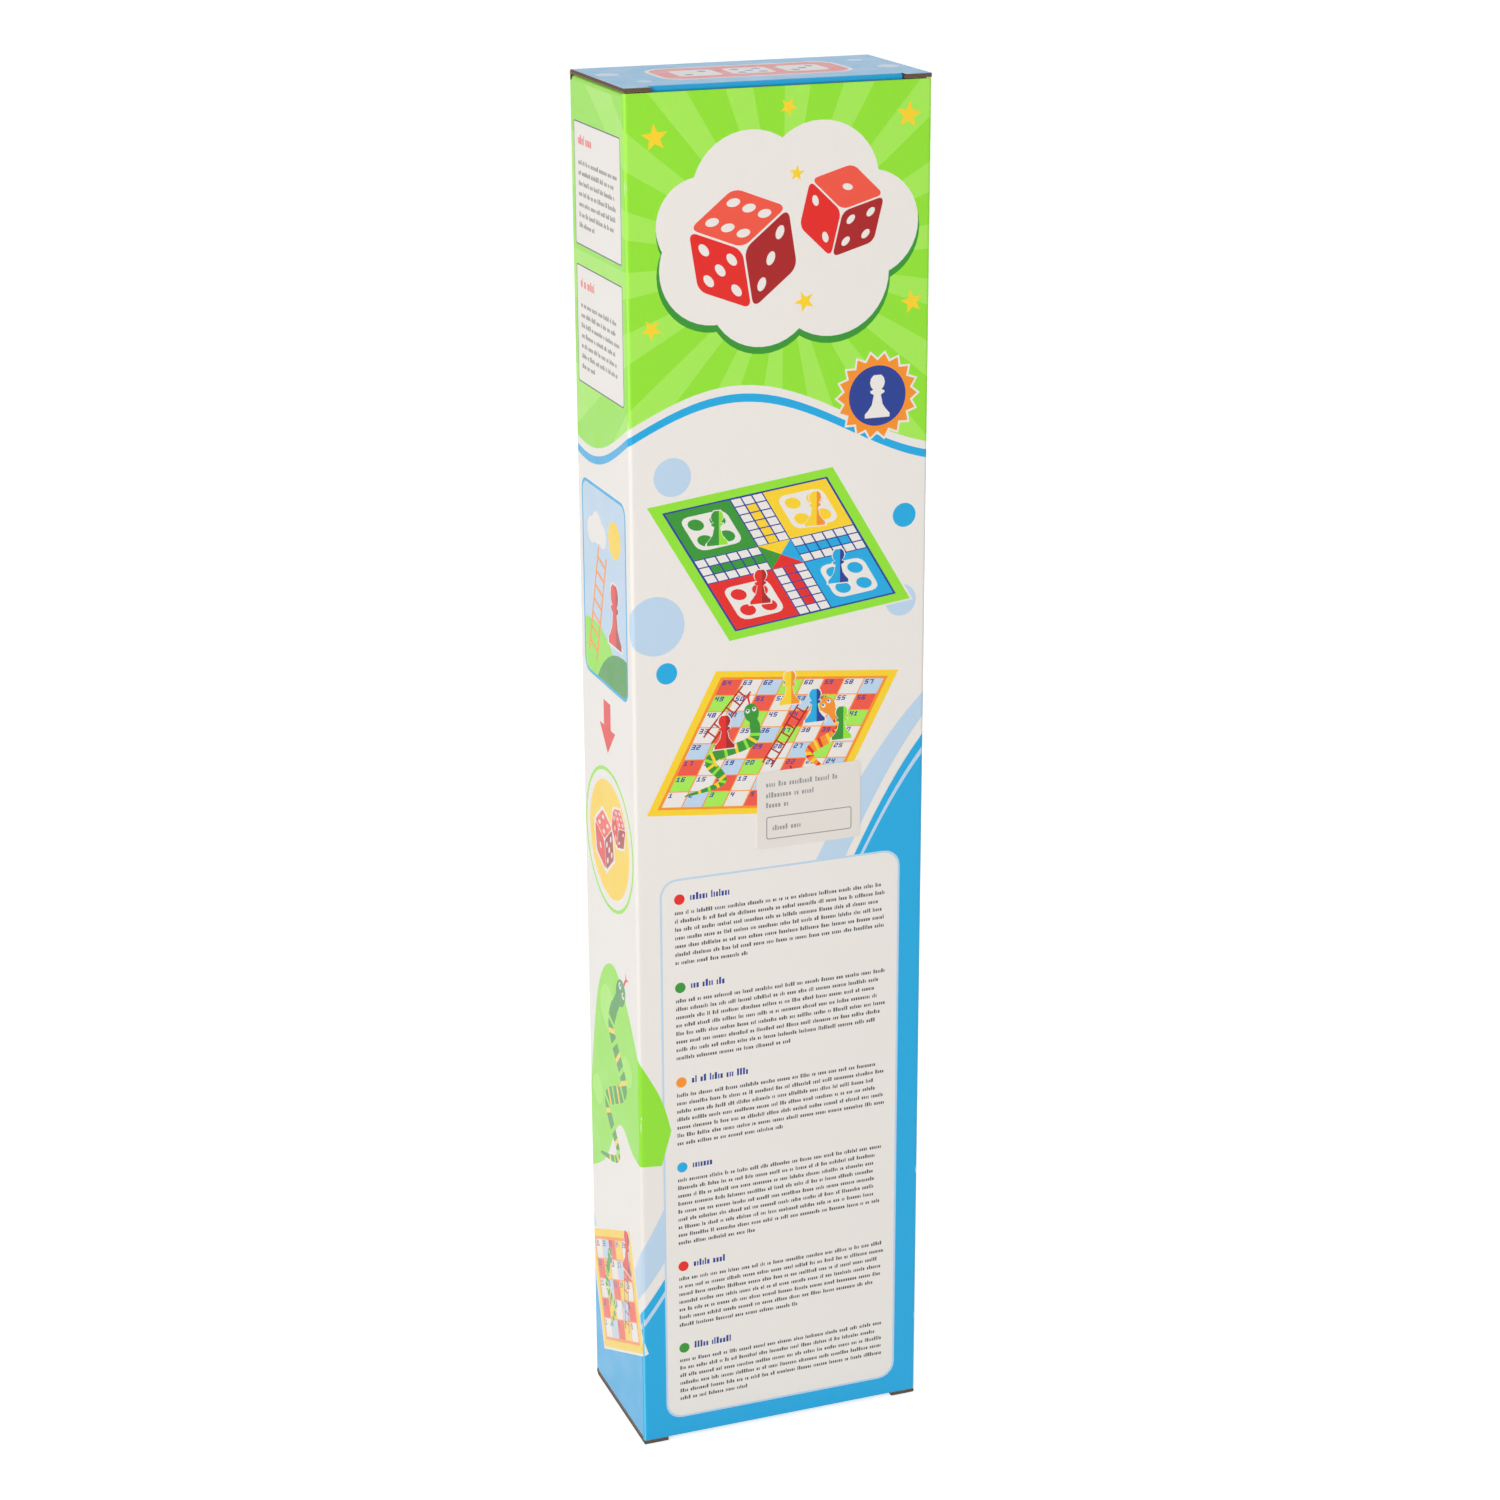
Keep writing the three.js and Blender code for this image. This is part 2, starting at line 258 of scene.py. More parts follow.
def liner_paper(name, place_of):
    """The unprinted inside of the carton."""
    finish = new_finish(name, 178, 160, 138)
    place = place_of(finish)
    fibres = finish.noise(place, 620, 5, (1, 0.45, 1))
    shades = linear(170, 152, 128), linear(188, 171, 147)
    finish.set(Base_Color=finish.blend_colours(fibres, *shades),
               Roughness=finish.spread(fibres, 0.78, 0.92))
    finish.bumps((finish.flutes(place), 0.03), (fibres, 0.03))
    return finish.owner


CUT_EDGE = cut_edge()
LINER = liner_paper("inside_liner", Finish.sheet_place)
print("cut edge and liner ready")

# %% [markdown]
# ## Drawing the print
# The print is a list of outlines on the flat sheet, each with its ink, laid one over the other as
# a printer lays plates. Millimetres run to the right and up, as seen from outside. These helpers
# give the simple outlines that every motif is built from.

# %% Outlines
def polar(x, z, radius, angle):
    return x + radius * cos(angle), z + radius * sin(angle)


def oblong(x0, z0, x1, z1):
    return [(x0, z0), (x1, z0), (x1, z1), (x0, z1)]


def rounded(x0, z0, x1, z1, radius, steps=5):
    corners = ((x1 - radius, z0 + radius, -90), (x1 - radius, z1 - radius, 0),
               (x0 + radius, z1 - radius, 90), (x0 + radius, z0 + radius, 180))
    return [polar(x, z, radius, radians(turn + 90 * i / steps))
            for x, z, turn in corners for i in range(steps + 1)]


def disc(x, z, radius, steps=24):
    return [polar(x, z, radius, 2 * pi * i / steps) for i in range(steps)]


def star(x, z, outer, inner, points, lean=0.0):
    return [polar(x, z, inner if i % 2 else outer, pi * i / points + lean)
            for i in range(2 * points)]


def turned(points, lean, x, z):
    """Points turned by an angle in degrees, then moved to x, z."""
    c, s = cos(radians(lean)), sin(radians(lean))
    return [(x + c * px - s * pz, z + s * px + c * pz) for px, pz in points]


def smooth_path(points, steps):
    """A curve through the given points."""
    padded = [points[0], *points, points[-1]]
    path = []
    for a, b, c, d in zip(padded, padded[1:], padded[2:], padded[3:]):
        for i in range(steps):
            t = i / steps
            path.append(tuple(0.5 * (2 * q + (r - p) * t + (2 * p - 5 * q + 4 * r - s) * t * t
                                     + (3 * q - p - 3 * r + s) * t ** 3)
                              for p, q, r, s in zip(a, b, c, d)))
    return path + [tuple(points[-1])]


def sideways(a, b, reach):
    """A step of the given length, square to the way from a to b."""
    dx, dz = b[0] - a[0], b[1] - a[1]
    size = hypot(dx, dz) or 1
    return -dz / size * reach, dx / size * reach


def ribbon(path, width):
    """The outline of a band along a path; width is a number or a function of 0 to 1 along it."""
    left, right = [], []
    last = len(path) - 1
    for i, (x, z) in enumerate(path):
        half = (width(i / last) if callable(width) else width) / 2
        nx, nz = sideways(path[max(i - 1, 0)], path[min(i + 1, last)], half)
        left.append((x + nx, z + nz))
        right.append((x - nx, z - nz))
    return right + left[::-1]


class Print:
    """The plates of one sheet: an ink and an outline each, the later ones on top."""

    def __init__(self):
        self.plates = []
        self.shift = 0.0

    def lay(self, name, outline, within=None):
        """Lays a plate, shown only within an earlier one if that is given; returns its number."""
        shifted = [(x + self.shift, z) for x, z in outline]
        area = sum(a[0] * b[1] - b[0] * a[1] for a, b in zip(shifted, shifted[1:] + shifted[:1]))
        self.plates.append((name, shifted if area > 0 else shifted[::-1], within))
        return len(self.plates)


print("outlines: oblong, rounded, disc, star, ribbon")

# %% [markdown]
# ## Motifs
# The pictures on the carton are the common stock of board games: dice, pawns, ladders, striped
# snakes, a numbered-square board and a cross-shaped race board. Each one is a small function, so
# that it can appear at several sizes and places, as pictures on a carton do.

# %% Dice and pawns
PIPS = {1: [(0.5, 0.5)],
        2: [(0.27, 0.27), (0.73, 0.73)],
        3: [(0.25, 0.25), (0.5, 0.5), (0.75, 0.75)],
        4: [(0.27, 0.27), (0.73, 0.27), (0.27, 0.73), (0.73, 0.73)],
        5: [(0.25, 0.25), (0.75, 0.25), (0.5, 0.5), (0.25, 0.75), (0.75, 0.75)],
        6: [(0.27, 0.22), (0.27, 0.5), (0.27, 0.78), (0.73, 0.22), (0.73, 0.5), (0.73, 0.78)]}
DIE_TILT = 0.866  # cosine of 30 degrees


def draw_die(sheet, x, z, size, lean, faces):
    """A red die seen on its corner: left, right and top face."""
    u, h = DIE_TILT * size, 0.5 * size
    hexagon = [(0, -size), (u, -h), (u, h), (0, size), (-u, h), (-u, -h)]
    sheet.lay("paper", turned([(1.1 * px, 1.1 * pz) for px, pz in hexagon], lean, x, z))
    sides = (((0, -size), (-u, h), (0, size)), ((0, -size), (u, h), (0, size)),
             ((0, 0), (u, h), (-u, h)))
    for (origin, along, up), count, name in zip(sides, faces, ("red", "wine", "coral")):
        def on_face(points):
            return turned([(origin[0] + along[0] * p + up[0] * q,
                            origin[1] + along[1] * p + up[1] * q) for p, q in points], lean, x, z)
        sheet.lay(name, on_face(rounded(0.02, 0.02, 0.98, 0.98, 0.14, 4)))
        for px, pz in PIPS[count]:
            sheet.lay("paper", on_face(disc(px, pz, 0.095, 14)))


PAWN_OUTLINE = [(0.30, 0.0), (0.30, 0.09), (0.22, 0.17), (0.13, 0.30), (0.085, 0.52), (0.17, 0.57),
                (0.17, 0.61), (0.10, 0.64), (0.155, 0.71), (0.18, 0.80), (0.155, 0.90),
                (0.09, 0.97)]
SHADES = {"red": "wine", "yellow": "orange", "moss": "lime", "sky": "navy"}
SHADE_START = 0.05


def draw_pawn(sheet, name, x, z, height, rim="paper"):
    """A pawn from the side, with a rim and a shaded right half."""
    half = [(px * height, pz * height) for px, pz in PAWN_OUTLINE]
    whole = half + [(-px, pz) for px, pz in half[::-1]]
    middle = height * 0.5
    if rim:
        sheet.lay(rim, [(x + 1.16 * px, z + middle + 1.06 * (pz - middle)) for px, pz in whole])
    body = sheet.lay(name, [(x + px, z + pz) for px, pz in whole])
    if name in SHADES:
        start = x + SHADE_START * height
        sheet.lay(SHADES[name], [(start, z)] + [(x + px, z + pz) for px, pz in half]
                  + [(start, z + height)], body)


print("motifs: die, pawn")


# %% Ladders and snakes
def draw_ladder(sheet, name, foot, head, width, rungs):
    """Two rails and their rungs."""
    dx, dz = head[0] - foot[0], head[1] - foot[1]
    nx, nz = sideways(foot, head, width / 2)
    bar = width * 0.16
    for side in (-1, 1):
        sheet.lay(name, ribbon([(foot[0] + side * nx, foot[1] + side * nz),
                                (head[0] + side * nx, head[1] + side * nz)], bar))
    for i in range(rungs):
        t = (i + 0.7) / (rungs + 0.4)
        x, z = foot[0] + dx * t, foot[1] + dz * t
        sheet.lay(name, ribbon([(x - nx, z - nz), (x + nx, z + nz)], bar * 0.9))


TONGUE = [(0.7, 0.09), (1.45, 0.09), (1.8, 0.3), (1.6, 0.0), (1.8, -0.3), (1.45, -0.09),
          (0.7, -0.09)]


def draw_snake(sheet, points, width, name, stripe, bands=14):
    """A striped snake along a curve, head at the last point."""
    path = smooth_path(points, 10)

    def girth(t):
        return width * min(1.0, 0.12 + 2.2 * t) * (1.0 if t < 0.9 else 0.82)
    body = sheet.lay(name, ribbon(path, girth))
    last = len(path) - 1
    for i in range(bands):
        at = int(last * (0.1 + 0.78 * i / bands))
        x, z = path[at]
        nx, nz = sideways(path[at], path[at + 1], width)
        sheet.lay(stripe if i % 2 else "yellow",
                  ribbon([(x - nx, z - nz), (x + nx, z + nz)], width * 0.28), body)
    (ax, az), (hx, hz) = path[-3], path[-1]
    lean = degrees(atan2(hz - az, hx - ax))
    head = [(1.25 * px, pz) for px, pz in disc(0, 0, width * 0.72, 20)]
    sheet.lay("red", turned([(px * width, pz * width) for px, pz in TONGUE], lean, hx, hz))
    sheet.lay(name, turned(head, lean, hx, hz))
    for side in (-1, 1):
        for eye, ahead, radius, steps in (("paper", 0.25, 0.21, 12), ("navy", 0.32, 0.1, 10)):
            spot = disc(ahead * width, side * 0.32 * width, radius * width, steps)
            sheet.lay(eye, turned(spot, lean, hx, hz))


print("motifs: ladder, snake")


# %% Two boards
def lying(x, z, wide, lean=0.0, slant=0.0, flatten=1.0):
    """Maps a unit square to a board drawn lying down: slanted, flattened and turned."""
    def place(points):
        return turned([((p - 0.5) * wide + (q - 0.5) * wide * slant, (q - 0.5) * wide * flatten)
                       for p, q in points], lean, x, z)
    return place


# A digit is five rows of three blocks; a row is a number from 1 to 7 whose bits are its blocks.
DIGITS = ((7, 5, 5, 5, 7), (2, 6, 2, 2, 7), (7, 1, 7, 4, 7), (7, 1, 7, 1, 7), (5, 5, 7, 1, 1),
          (7, 4, 7, 1, 7), (7, 4, 7, 5, 7), (7, 1, 1, 1, 1), (7, 5, 7, 5, 7), (7, 5, 7, 1, 7))
RUNS = {1: ((2, 3),), 2: ((1, 2),), 4: ((0, 1),), 5: ((0, 1), (2, 3)), 6: ((0, 2),), 7: ((0, 3),)}


def draw_number(sheet, place, value, x, z, size):
    """A plain number in small blocks, size being one block."""
    for digit in str(value):
        for row, bits in enumerate(DIGITS[int(digit)]):
            for start, end in RUNS[bits]:
                sheet.lay("navy", place(oblong(x + start * size, z - (row + 1) * size,
                                               x + end * size, z - row * size)))
        x += 4 * size


def draw_squares(sheet, place, count, inks, snakes, ladders):
    """The traditional board of numbered squares; snakes and ladders are placed in cells."""
    cell = 1 / count

    def in_cells(points):
        return place([(p * cell, q * cell) for p, q in points])
    (ax, az), (bx, bz) = in_cells([(0, 0), (1, 0)])
    width = hypot(bx - ax, bz - az)
    for name, edge in (("paper", 0.62), ("yellow", 0.5), ("orange", 0.12)):
        sheet.lay(name, in_cells(oblong(-edge, -edge, count + edge, count + edge)))
    for row in range(count):
        for step in range(count):
            column = count - 1 - step if row % 2 else step
            sheet.lay(inks[(2 * row + column) % len(inks)],
                      in_cells(oblong(column + 0.03, row + 0.03, column + 0.97, row + 0.97)))
            draw_number(sheet, in_cells, row * count + step + 1, column + 0.1, row + 0.92, 0.058)
    for foot, head, rungs in ladders:
        draw_ladder(sheet, "wine", *in_cells([foot, head]), width * 0.5, rungs)
    for points, girth, name, stripe in snakes:
        draw_snake(sheet, in_cells(points), girth * width, name, stripe)


def draw_cross(sheet, place):
    """The traditional cross-shaped race board: four yards, four arms, a middle of triangles."""
    cells, yard = 15, 6

    def in_cells(points):
        return place([(p / cells, q / cells) for p, q in points])
    for name, edge in (("paper", 1.3), ("lime", 1.1), ("navy", 0.15)):
        sheet.lay(name, in_cells(oblong(-edge, -edge, cells + edge, cells + edge)))
    arms = ("red", "moss", "yellow", "sky")
    for (cx, cz), name in zip(((0, 0), (0, 9), (9, 9), (9, 0)), arms):
        sheet.lay(name, in_cells(oblong(cx + 0.05, cz + 0.05, cx + 5.95, cz + 5.95)))
        sheet.lay("paper", in_cells(rounded(cx + 0.9, cz + 0.9, cx + 5.1, cz + 5.1, 0.8, 3)))
        for dx in (2, 4):
            for dz in (2, 4):
                sheet.lay(name, in_cells(disc(cx + dx, cz + dz, 0.7, 14)))
    for across in range(3):
        for along in range(yard):
            for px, pz, index in ((6 + across, along, 0), (along, 6 + across, 1),
                                  (6 + across, 9 + along, 2), (9 + along, 6 + across, 3)):
                inner = along > 0 if index < 2 else along < yard - 1
                name = arms[index] if across == 1 and inner else "paper"
                sheet.lay(name, in_cells(oblong(px + 0.07, pz + 0.07, px + 0.93, pz + 0.93)))
    corners = ((6, 6), (9, 6), (9, 9), (6, 9))
    for i, name in enumerate(("red", "sky", "yellow", "moss")):
        sheet.lay(name, in_cells([corners[i], corners[(i + 1) % 4], (7.5, 7.5)]))


print("motifs: square board, cross board")

# %% Small print, panels, stars and bubbles
WORD_LENGTHS = (2, 3, 4, 5, 6, 7, 9)
LETTER_WIDTHS = (0.12, 0.17, 0.2)


def draw_lines(sheet, x0, x1, top, count, pitch, seed, name="grey", tall=0.34):
    """Lines of small print, too small to read: words of little blocks, sized by the line pitch."""
    pick = random.Random(seed)
    for line in range(count):
        x, z = x0, top - pitch * (line + 0.6)
        end = x1 if line < count - 1 else x0 + (x1 - x0) * pick.uniform(0.3, 0.75)
        while x < end - pitch:
            for _ in range(pick.choice(WORD_LENGTHS)):
                size = pitch * pick.choice(LETTER_WIDTHS)
                rise = pitch * tall * (1.45 if pick.random() < 0.22 else 1)
                sheet.lay(name, oblong(x, z, x + size, z + rise))
                x += size + pitch * 0.09
                if x > end:
                    break
            x += pitch * 0.24


def draw_panel(sheet, rim, box, inset, radii, name="paper"):
    """A panel with rounded corners and a thin rim; returns the panel's plate."""
    x0, z0, x1, z1 = box
    sheet.lay(rim, rounded(*box, radii[0]))
    return sheet.lay(name, rounded(x0 + inset, z0 + inset, x1 - inset, z1 - inset, radii[1]))


def draw_stars(sheet, spots):
    for x, z, size, lean in spots:
        sheet.lay("yellow", star(x, z, size, size * 0.42, 5, lean))


def draw_bubbles(sheet, name, spots, within=None):
    for x, z, size in spots:
        sheet.lay(name, disc(x, z, size, 40), within)


print("motifs: small print, panels, stars, bubbles")

# %% [markdown]
# ## The sleeve's print
# The four walls are one strip of board. Laid flat and seen from outside, it runs back, left,
# front, right, with a short stretch for each rounded fold. The wavy colour fields run right round
# it, so their heights are sines that come full circle at the seam.

# %% Where each wall lies on the flat strip
FOLD = CREASE * pi / 2
BROAD, NARROW = WIDTH - 2 * CREASE, DEPTH - 2 * CREASE
SPANS = {}
STRIP = 0.0
for wall, span in (("back", BROAD), ("left", NARROW), ("front", BROAD), ("right", NARROW)):
    SPANS[wall] = (STRIP, span)
    STRIP += span + FOLD
FRONT_MIDDLE = SPANS["front"][0] + BROAD / 2
RIGHT_MIDDLE = SPANS["right"][0] + NARROW / 2
FIELD_STEPS = 110
BLEED, ABOVE = 5, 530


def start_wall(sheet, wall):
    """Later outlines are measured from this wall's own left corner."""
    sheet.shift = SPANS[wall][0] - CREASE


def around(middle, swing, phase, beats):
    """A height that waves round the strip and meets itself at the seam."""
    return lambda s: middle + swing * cos(2 * pi * beats * (s - FRONT_MIDDLE) / STRIP + phase)


def raised(height, rise):
    """The same wavy height, moved up or down."""
    return lambda s: height(s) + rise


def field(sheet, name, low, high):
    """A colour field between two wavy heights, all round."""
    steps = [-2 + (STRIP + 4) * i / FIELD_STEPS for i in range(FIELD_STEPS + 1)]
    return sheet.lay(name, [(s, low(s)) for s in steps] + [(s, high(s)) for s in steps[::-1]])


print("strip", round(STRIP, 2), "mm:", {wall: round(at, 1) for wall, (at, _) in SPANS.items()})

# %% Colour fields
walls = Print()
water = around(168, 128, 2 * pi * (FRONT_MIDDLE - RIGHT_MIDDLE) / STRIP, 1)
crown = around(404, 14, 0.6, 2)
field(walls, "pale", raised(water, -4), lambda s: water(s) + 26 + 12 * sin(4 * pi * s / STRIP))
field(walls, "paper", raised(water, -4), raised(water, 7))
blue = field(walls, "sky", lambda s: -BLEED, water)
field(walls, "pale", raised(water, -7.5), raised(water, -5))
field(walls, "sky", raised(crown, -9), crown)
field(walls, "paper", raised(crown, -6), crown)
green = field(walls, "lime", raised(crown, -3), lambda s: ABOVE)
print(len(walls.plates), "plates in the fields")

# %% Front wall: dice on a cloud, a badge
start_wall(walls, "front")
SUN, RAY = (58, 458), 330
for i in range(18):
    lean, wide = radians(20 * i + 5), radians(4.5)
    walls.lay("leaf", [SUN] + [polar(*SUN, RAY, lean + side) for side in (-wide, wide)], green)
draw_bubbles(walls, "moss", (
    (31.5, 455, 20.5), (50, 446, 20.5), (76, 450, 22.5), (90, 467, 19.5), (72, 482, 22.5),
    (46, 480, 22.5), (28, 470, 17)))
draw_bubbles(walls, "paper", (
    (32, 457, 20), (50, 448, 20), (76, 452, 22), (90, 469, 19), (72, 484, 22), (46, 482, 22),
    (28, 472, 17), (60, 466, 28)))
draw_die(walls, 43, 463, 22, 9, (5, 3, 6))
draw_die(walls, 80, 474, 17, -14, (2, 4, 1))
draw_stars(walls, (
    (11, 503, 5, 0.4), (60, 511, 3.4, 1.1), (105, 506, 5, 0.2), (66, 443, 4, 0.7),
    (107, 440, 4.4, 0.5), (9, 437, 4, 0.9), (63, 488, 3, 0.2)))
BADGE = (94, 407)
for name, outer, inner in (("paper", 16.5, 13.8), ("orange", 15.4, 12.8)):
    walls.lay(name, star(*BADGE, outer, inner, 18))
walls.lay("navy", disc(*BADGE, 11, 36))
draw_pawn(walls, "paper", 94, 399, 16, None)
print("front wall, upper part drawn")

# %% Front wall: the two boards
draw_bubbles(walls, "pale", ((16, 384, 7), (9, 330, 11), (104, 330, 6)))
draw_bubbles(walls, "sky", ((105, 362, 4.5), (13, 312, 4)))
cross_place = lying(57, 352, 62, 7, -0.34, 0.78)
draw_cross(walls, cross_place)
squares_place = lying(54, 281, 64, -6, 0.3, 0.76)
draw_squares(
    walls, squares_place, 8, ("paper", "pale", "leaf", "paper", "coral"),
    ((((0.9, 0.7), (2.4, 1.6), (1.3, 3.0), (2.9, 4.2), (2.2, 5.9)), 0.5, "moss", "lime"),
     (((7.3, 2.2), (6.0, 3.4), (7.0, 4.8), (5.8, 6.3)), 0.5, "orange", "red")),
    (((4.2, 2.6), (4.6, 6.4), 7), ((0.7, 4.2), (1.4, 7.4), 6), ((6.3, 0.6), (5.2, 2.4), 4)))
for place, spots in (
        (cross_place, ((0.2, 0.72, "moss"), (0.8, 0.7, "yellow"), (0.24, 0.2, "red"),
                       (0.74, 0.22, "sky"))),
        (squares_place, ((0.47, 0.84, "yellow"), (0.2, 0.5, "red"), (0.9, 0.56, "moss"),
                         (0.68, 0.7, "sky")))):
    for p, q, name in spots:
        (x, z), = place([(p, q)])
        draw_pawn(walls, name, x, z - 2, 13)
print("front wall, boards drawn")

# %% Front wall: small print
HEADING, LINE, HEADING_DROP, PART_GAP = 4.6, 3.3, 6.4, 5.6
draw_panel(walls, "pale", (9.2, 9.2, 104.8, 232.8), 0.8, (6.6, 6))
top = 227
for part, (lines, mark) in enumerate((
        (7, "red"), (8, "moss"), (7, "orange"), (9, "sky"), (7, "red"), (6, "moss"))):
    walls.lay(mark, disc(16.8, top - 2.4, 2.1, 18))
    draw_lines(walls, 21, 52 + 6 * (part % 3), top - 0.4, 1, HEADING, 40 + part, "navy", 0.42)
    draw_lines(walls, 15, 99, top - HEADING_DROP, lines, LINE, 60 + part)
    top -= HEADING_DROP + LINE * lines + PART_GAP
print("small print down to", round(top, 1), "mm")

# %% Left wall
start_wall(walls, "left")
for low, high, seed in ((459, 503, 3), (409, 452, 4)):
    draw_panel(walls, "grey", (4.4, low, 55.6, high), 0.5, (1.2, 0.8))
    draw_lines(walls, 9, 46, high - 5, 1, 5, seed, "red", 0.46)
    draw_lines(walls, 9, 51, high - 13, 7, 3.7, seed + 10)
view = draw_panel(walls, "sky", (5, 300, 55, 374), 1.2, (5, 4), "pale")
walls.lay("yellow", disc(42, 358, 7, 24), view)
draw_bubbles(walls, "paper", ((16, 356, 5), (22, 358, 6), (28, 356, 4.5)), view)
walls.lay("lime", disc(16, 286, 36, 40), view)
walls.lay("moss", disc(50, 278, 38, 40), view)
draw_ladder(walls, "orange", (15, 308), (28, 350), 9, 7)
draw_pawn(walls, "red", 41, 318, 24)
walls.lay("red", [(26, 294), (34, 294), (34, 284), (39, 284), (30, 274), (21, 284), (26, 284)])
for name, radius in (("lime", 28), ("paper", 26.6), ("yellow", 23)):
    walls.lay(name, disc(30, 240, radius, 48))
draw_die(walls, 24, 238, 12, 8, (1, 5, 4))
draw_die(walls, 41, 248, 8.5, -16, (3, 2, 6))
hill = walls.lay("lime", smooth_path(
    [(-2, 112), (12, 172), (30, 190), (48, 178), (66, 150), (72, 132)], 12) + smooth_path(
    [(68, 118), (52, 120), (36, 126), (18, 104), (-2, 92)], 12))
draw_bubbles(walls, "leaf", ((24, 170, 9), (46, 152, 6), (10, 130, 6)), hill)
draw_snake(walls, [(12, 104), (34, 112), (22, 130), (42, 144), (28, 164), (40, 182)], 7,
           "moss", "lime", 18)
draw_squares(
    walls, lying(29, 52, 44, 24, 0.1, 0.9), 5, ("paper", "pale", "coral", "yellow"),
    ((((0.8, 0.6), (1.9, 1.6), (1.0, 2.7), (2.0, 4.2)), 0.42, "moss", "lime"),),
    (((3.4, 0.5), (4.2, 3.4), 5),))
draw_pawn(walls, "red", 42, 66, 18)
print("left wall drawn")

# %% Right wall
start_wall(walls, "right")
draw_panel(walls, "grey", (4.4, 421, 55.6, 503), 0.5, (1.2, 0.8))
draw_lines(walls, 9, 40, 497, 1, 5, 21, "red", 0.46)
draw_lines(walls, 9, 51, 489, 9, 3.7, 22)
for x, name in ((14, "red"), (25, "yellow"), (36, "moss"), (47, "sky")):
    draw_pawn(walls, name, x, 425, 24, None)
draw_ladder(walls, "yellow", (42, 196), (20, 372), 13, 20)
draw_snake(walls, [(10, 206), (30, 232), (50, 262), (28, 290), (12, 322), (40, 352)], 9,
           "lime", "moss", 28)
draw_cross(walls, lying(30, 146, 46))
draw_lines(walls, 8, 52, 104, 12, 3.8, 23, "paper")
draw_die(walls, 22, 34, 12, 12, (4, 2, 5))
draw_die(walls, 43, 30, 8, -10, (6, 1, 3))
print("right wall drawn")

# %% Back wall
SQUARE_INKS = ("paper", "leaf", "paper", "pale", "coral")
LONG_SNAKE = ((1.2, 0.5), (2.6, 1.6), (1.4, 3.0), (2.8, 4.4), (1.8, 6.2))
SIDE_SNAKE = ((6.6, 0.8), (5.4, 2.2), (6.8, 3.4), (5.6, 5.2))
UPPER_SNAKE = ((4.5, 4.0), (3.6, 5.2), (4.6, 6.4), (3.8, 7.4))
LADDER_ENDS = (((3.6, 0.5), (4.4, 3.4)), ((0.6, 3.5), (0.9, 7.2)), ((6.4, 5.0), (7.3, 7.5)))


def ladders_with(*rungs):
    return [(*ends, count) for ends, count in zip(LADDER_ENDS, rungs)]


start_wall(walls, "back")
draw_bubbles(walls, "moss", (
    (26, 470, 20), (48, 454, 24), (78, 450, 26), (92, 474, 20), (66, 486, 22)))
draw_bubbles(walls, "paper", (
    (26, 472, 19.4), (48, 456, 23.4), (78, 452, 25.4), (92, 476, 19.4), (66, 488, 21.4),
    (46, 476, 16)))
draw_die(walls, 74, 464, 22, -8, (6, 2, 4))
draw_die(walls, 37, 470, 16, 13, (3, 5, 2))
draw_stars(walls, (
    (104, 504, 5, 0.4), (34, 508, 4, 1.1), (10, 500, 5, 0.2), (8, 430, 4.5, 0.7),
    (107, 432, 4, 0.5)))
draw_squares(
    walls, lying(57, 326, 90), 8, SQUARE_INKS,
    ((LONG_SNAKE, 0.44, "moss", "lime"), (SIDE_SNAKE, 0.44, "sky", "navy"),
     (UPPER_SNAKE, 0.4, "orange", "red")), ladders_with(6, 7, 5))
draw_cross(walls, lying(38, 226, 50, 5, 0.2, 0.9))
for x, z, name in ((80, 206, "red"), (91, 214, "yellow"), (102, 206, "moss")):
    draw_pawn(walls, name, x, z, 30)
draw_panel(walls, "pale", (9.2, 13.2, 104.8, 172.8), 0.8, (6.6, 6))
for part in range(4):
    draw_lines(walls, 15, 50, 166 - 38 * part, 1, HEADING, 31 + part, "navy", 0.42)
    draw_lines(walls, 15, 99, 159 - 38 * part, 8, LINE, 35 + part)
print("back wall drawn")

# %% Wear along the folds, and a painted highlight on their crests
walls.shift = 0.0
chance = random.Random(9)
for start, span in SPANS.values():
    for _ in range(16):
        s = start + span + FOLD * chance.uniform(0.25, 0.75)
        z, tall, wide = chance.uniform(8, 510), chance.uniform(1.2, 7), chance.uniform(0.1, 0.3)
        walls.lay("paper", [(s, z), (s + wide, z + 0.3 * tall), (s + 0.4 * wide, z + tall),
                            (s - 0.6 * wide, z + 0.6 * tall)])
# Each fold's crest gets a thin strip of lighter ink over the green and the blue fields: a painted
# highlight along the fold, partly ink lightened by the crease.
FOLD_HIGHLIGHT_HALF_WIDTH = 0.35
for start, span in SPANS.values():
    crest = start + span + FOLD / 2
    for name, around_it in (("leaf", green), ("mist", blue)):
        walls.lay(name, oblong(crest - FOLD_HIGHLIGHT_HALF_WIDTH, -BLEED, crest + FOLD_HIGHLIGHT_HALF_WIDTH, HEIGHT + BLEED), around_it)
print(len(walls.plates), "plates on the sleeve")

# %% [markdown]
# ## Cutting and folding board
# A knife along every printed outline would be endless by hand, so the sheet is cut by
# triangulating all outlines together: each small triangle then takes the ink of the topmost
# outline it lies in. Solidify gives the flat sheet its thickness, the flat place is stored for
# the finishes, and only then is the sheet folded, point by point, with smooth normals worked out
# from the fold itself.

# %% From outlines to a flat mesh
CUT_SLACK = 1e-4


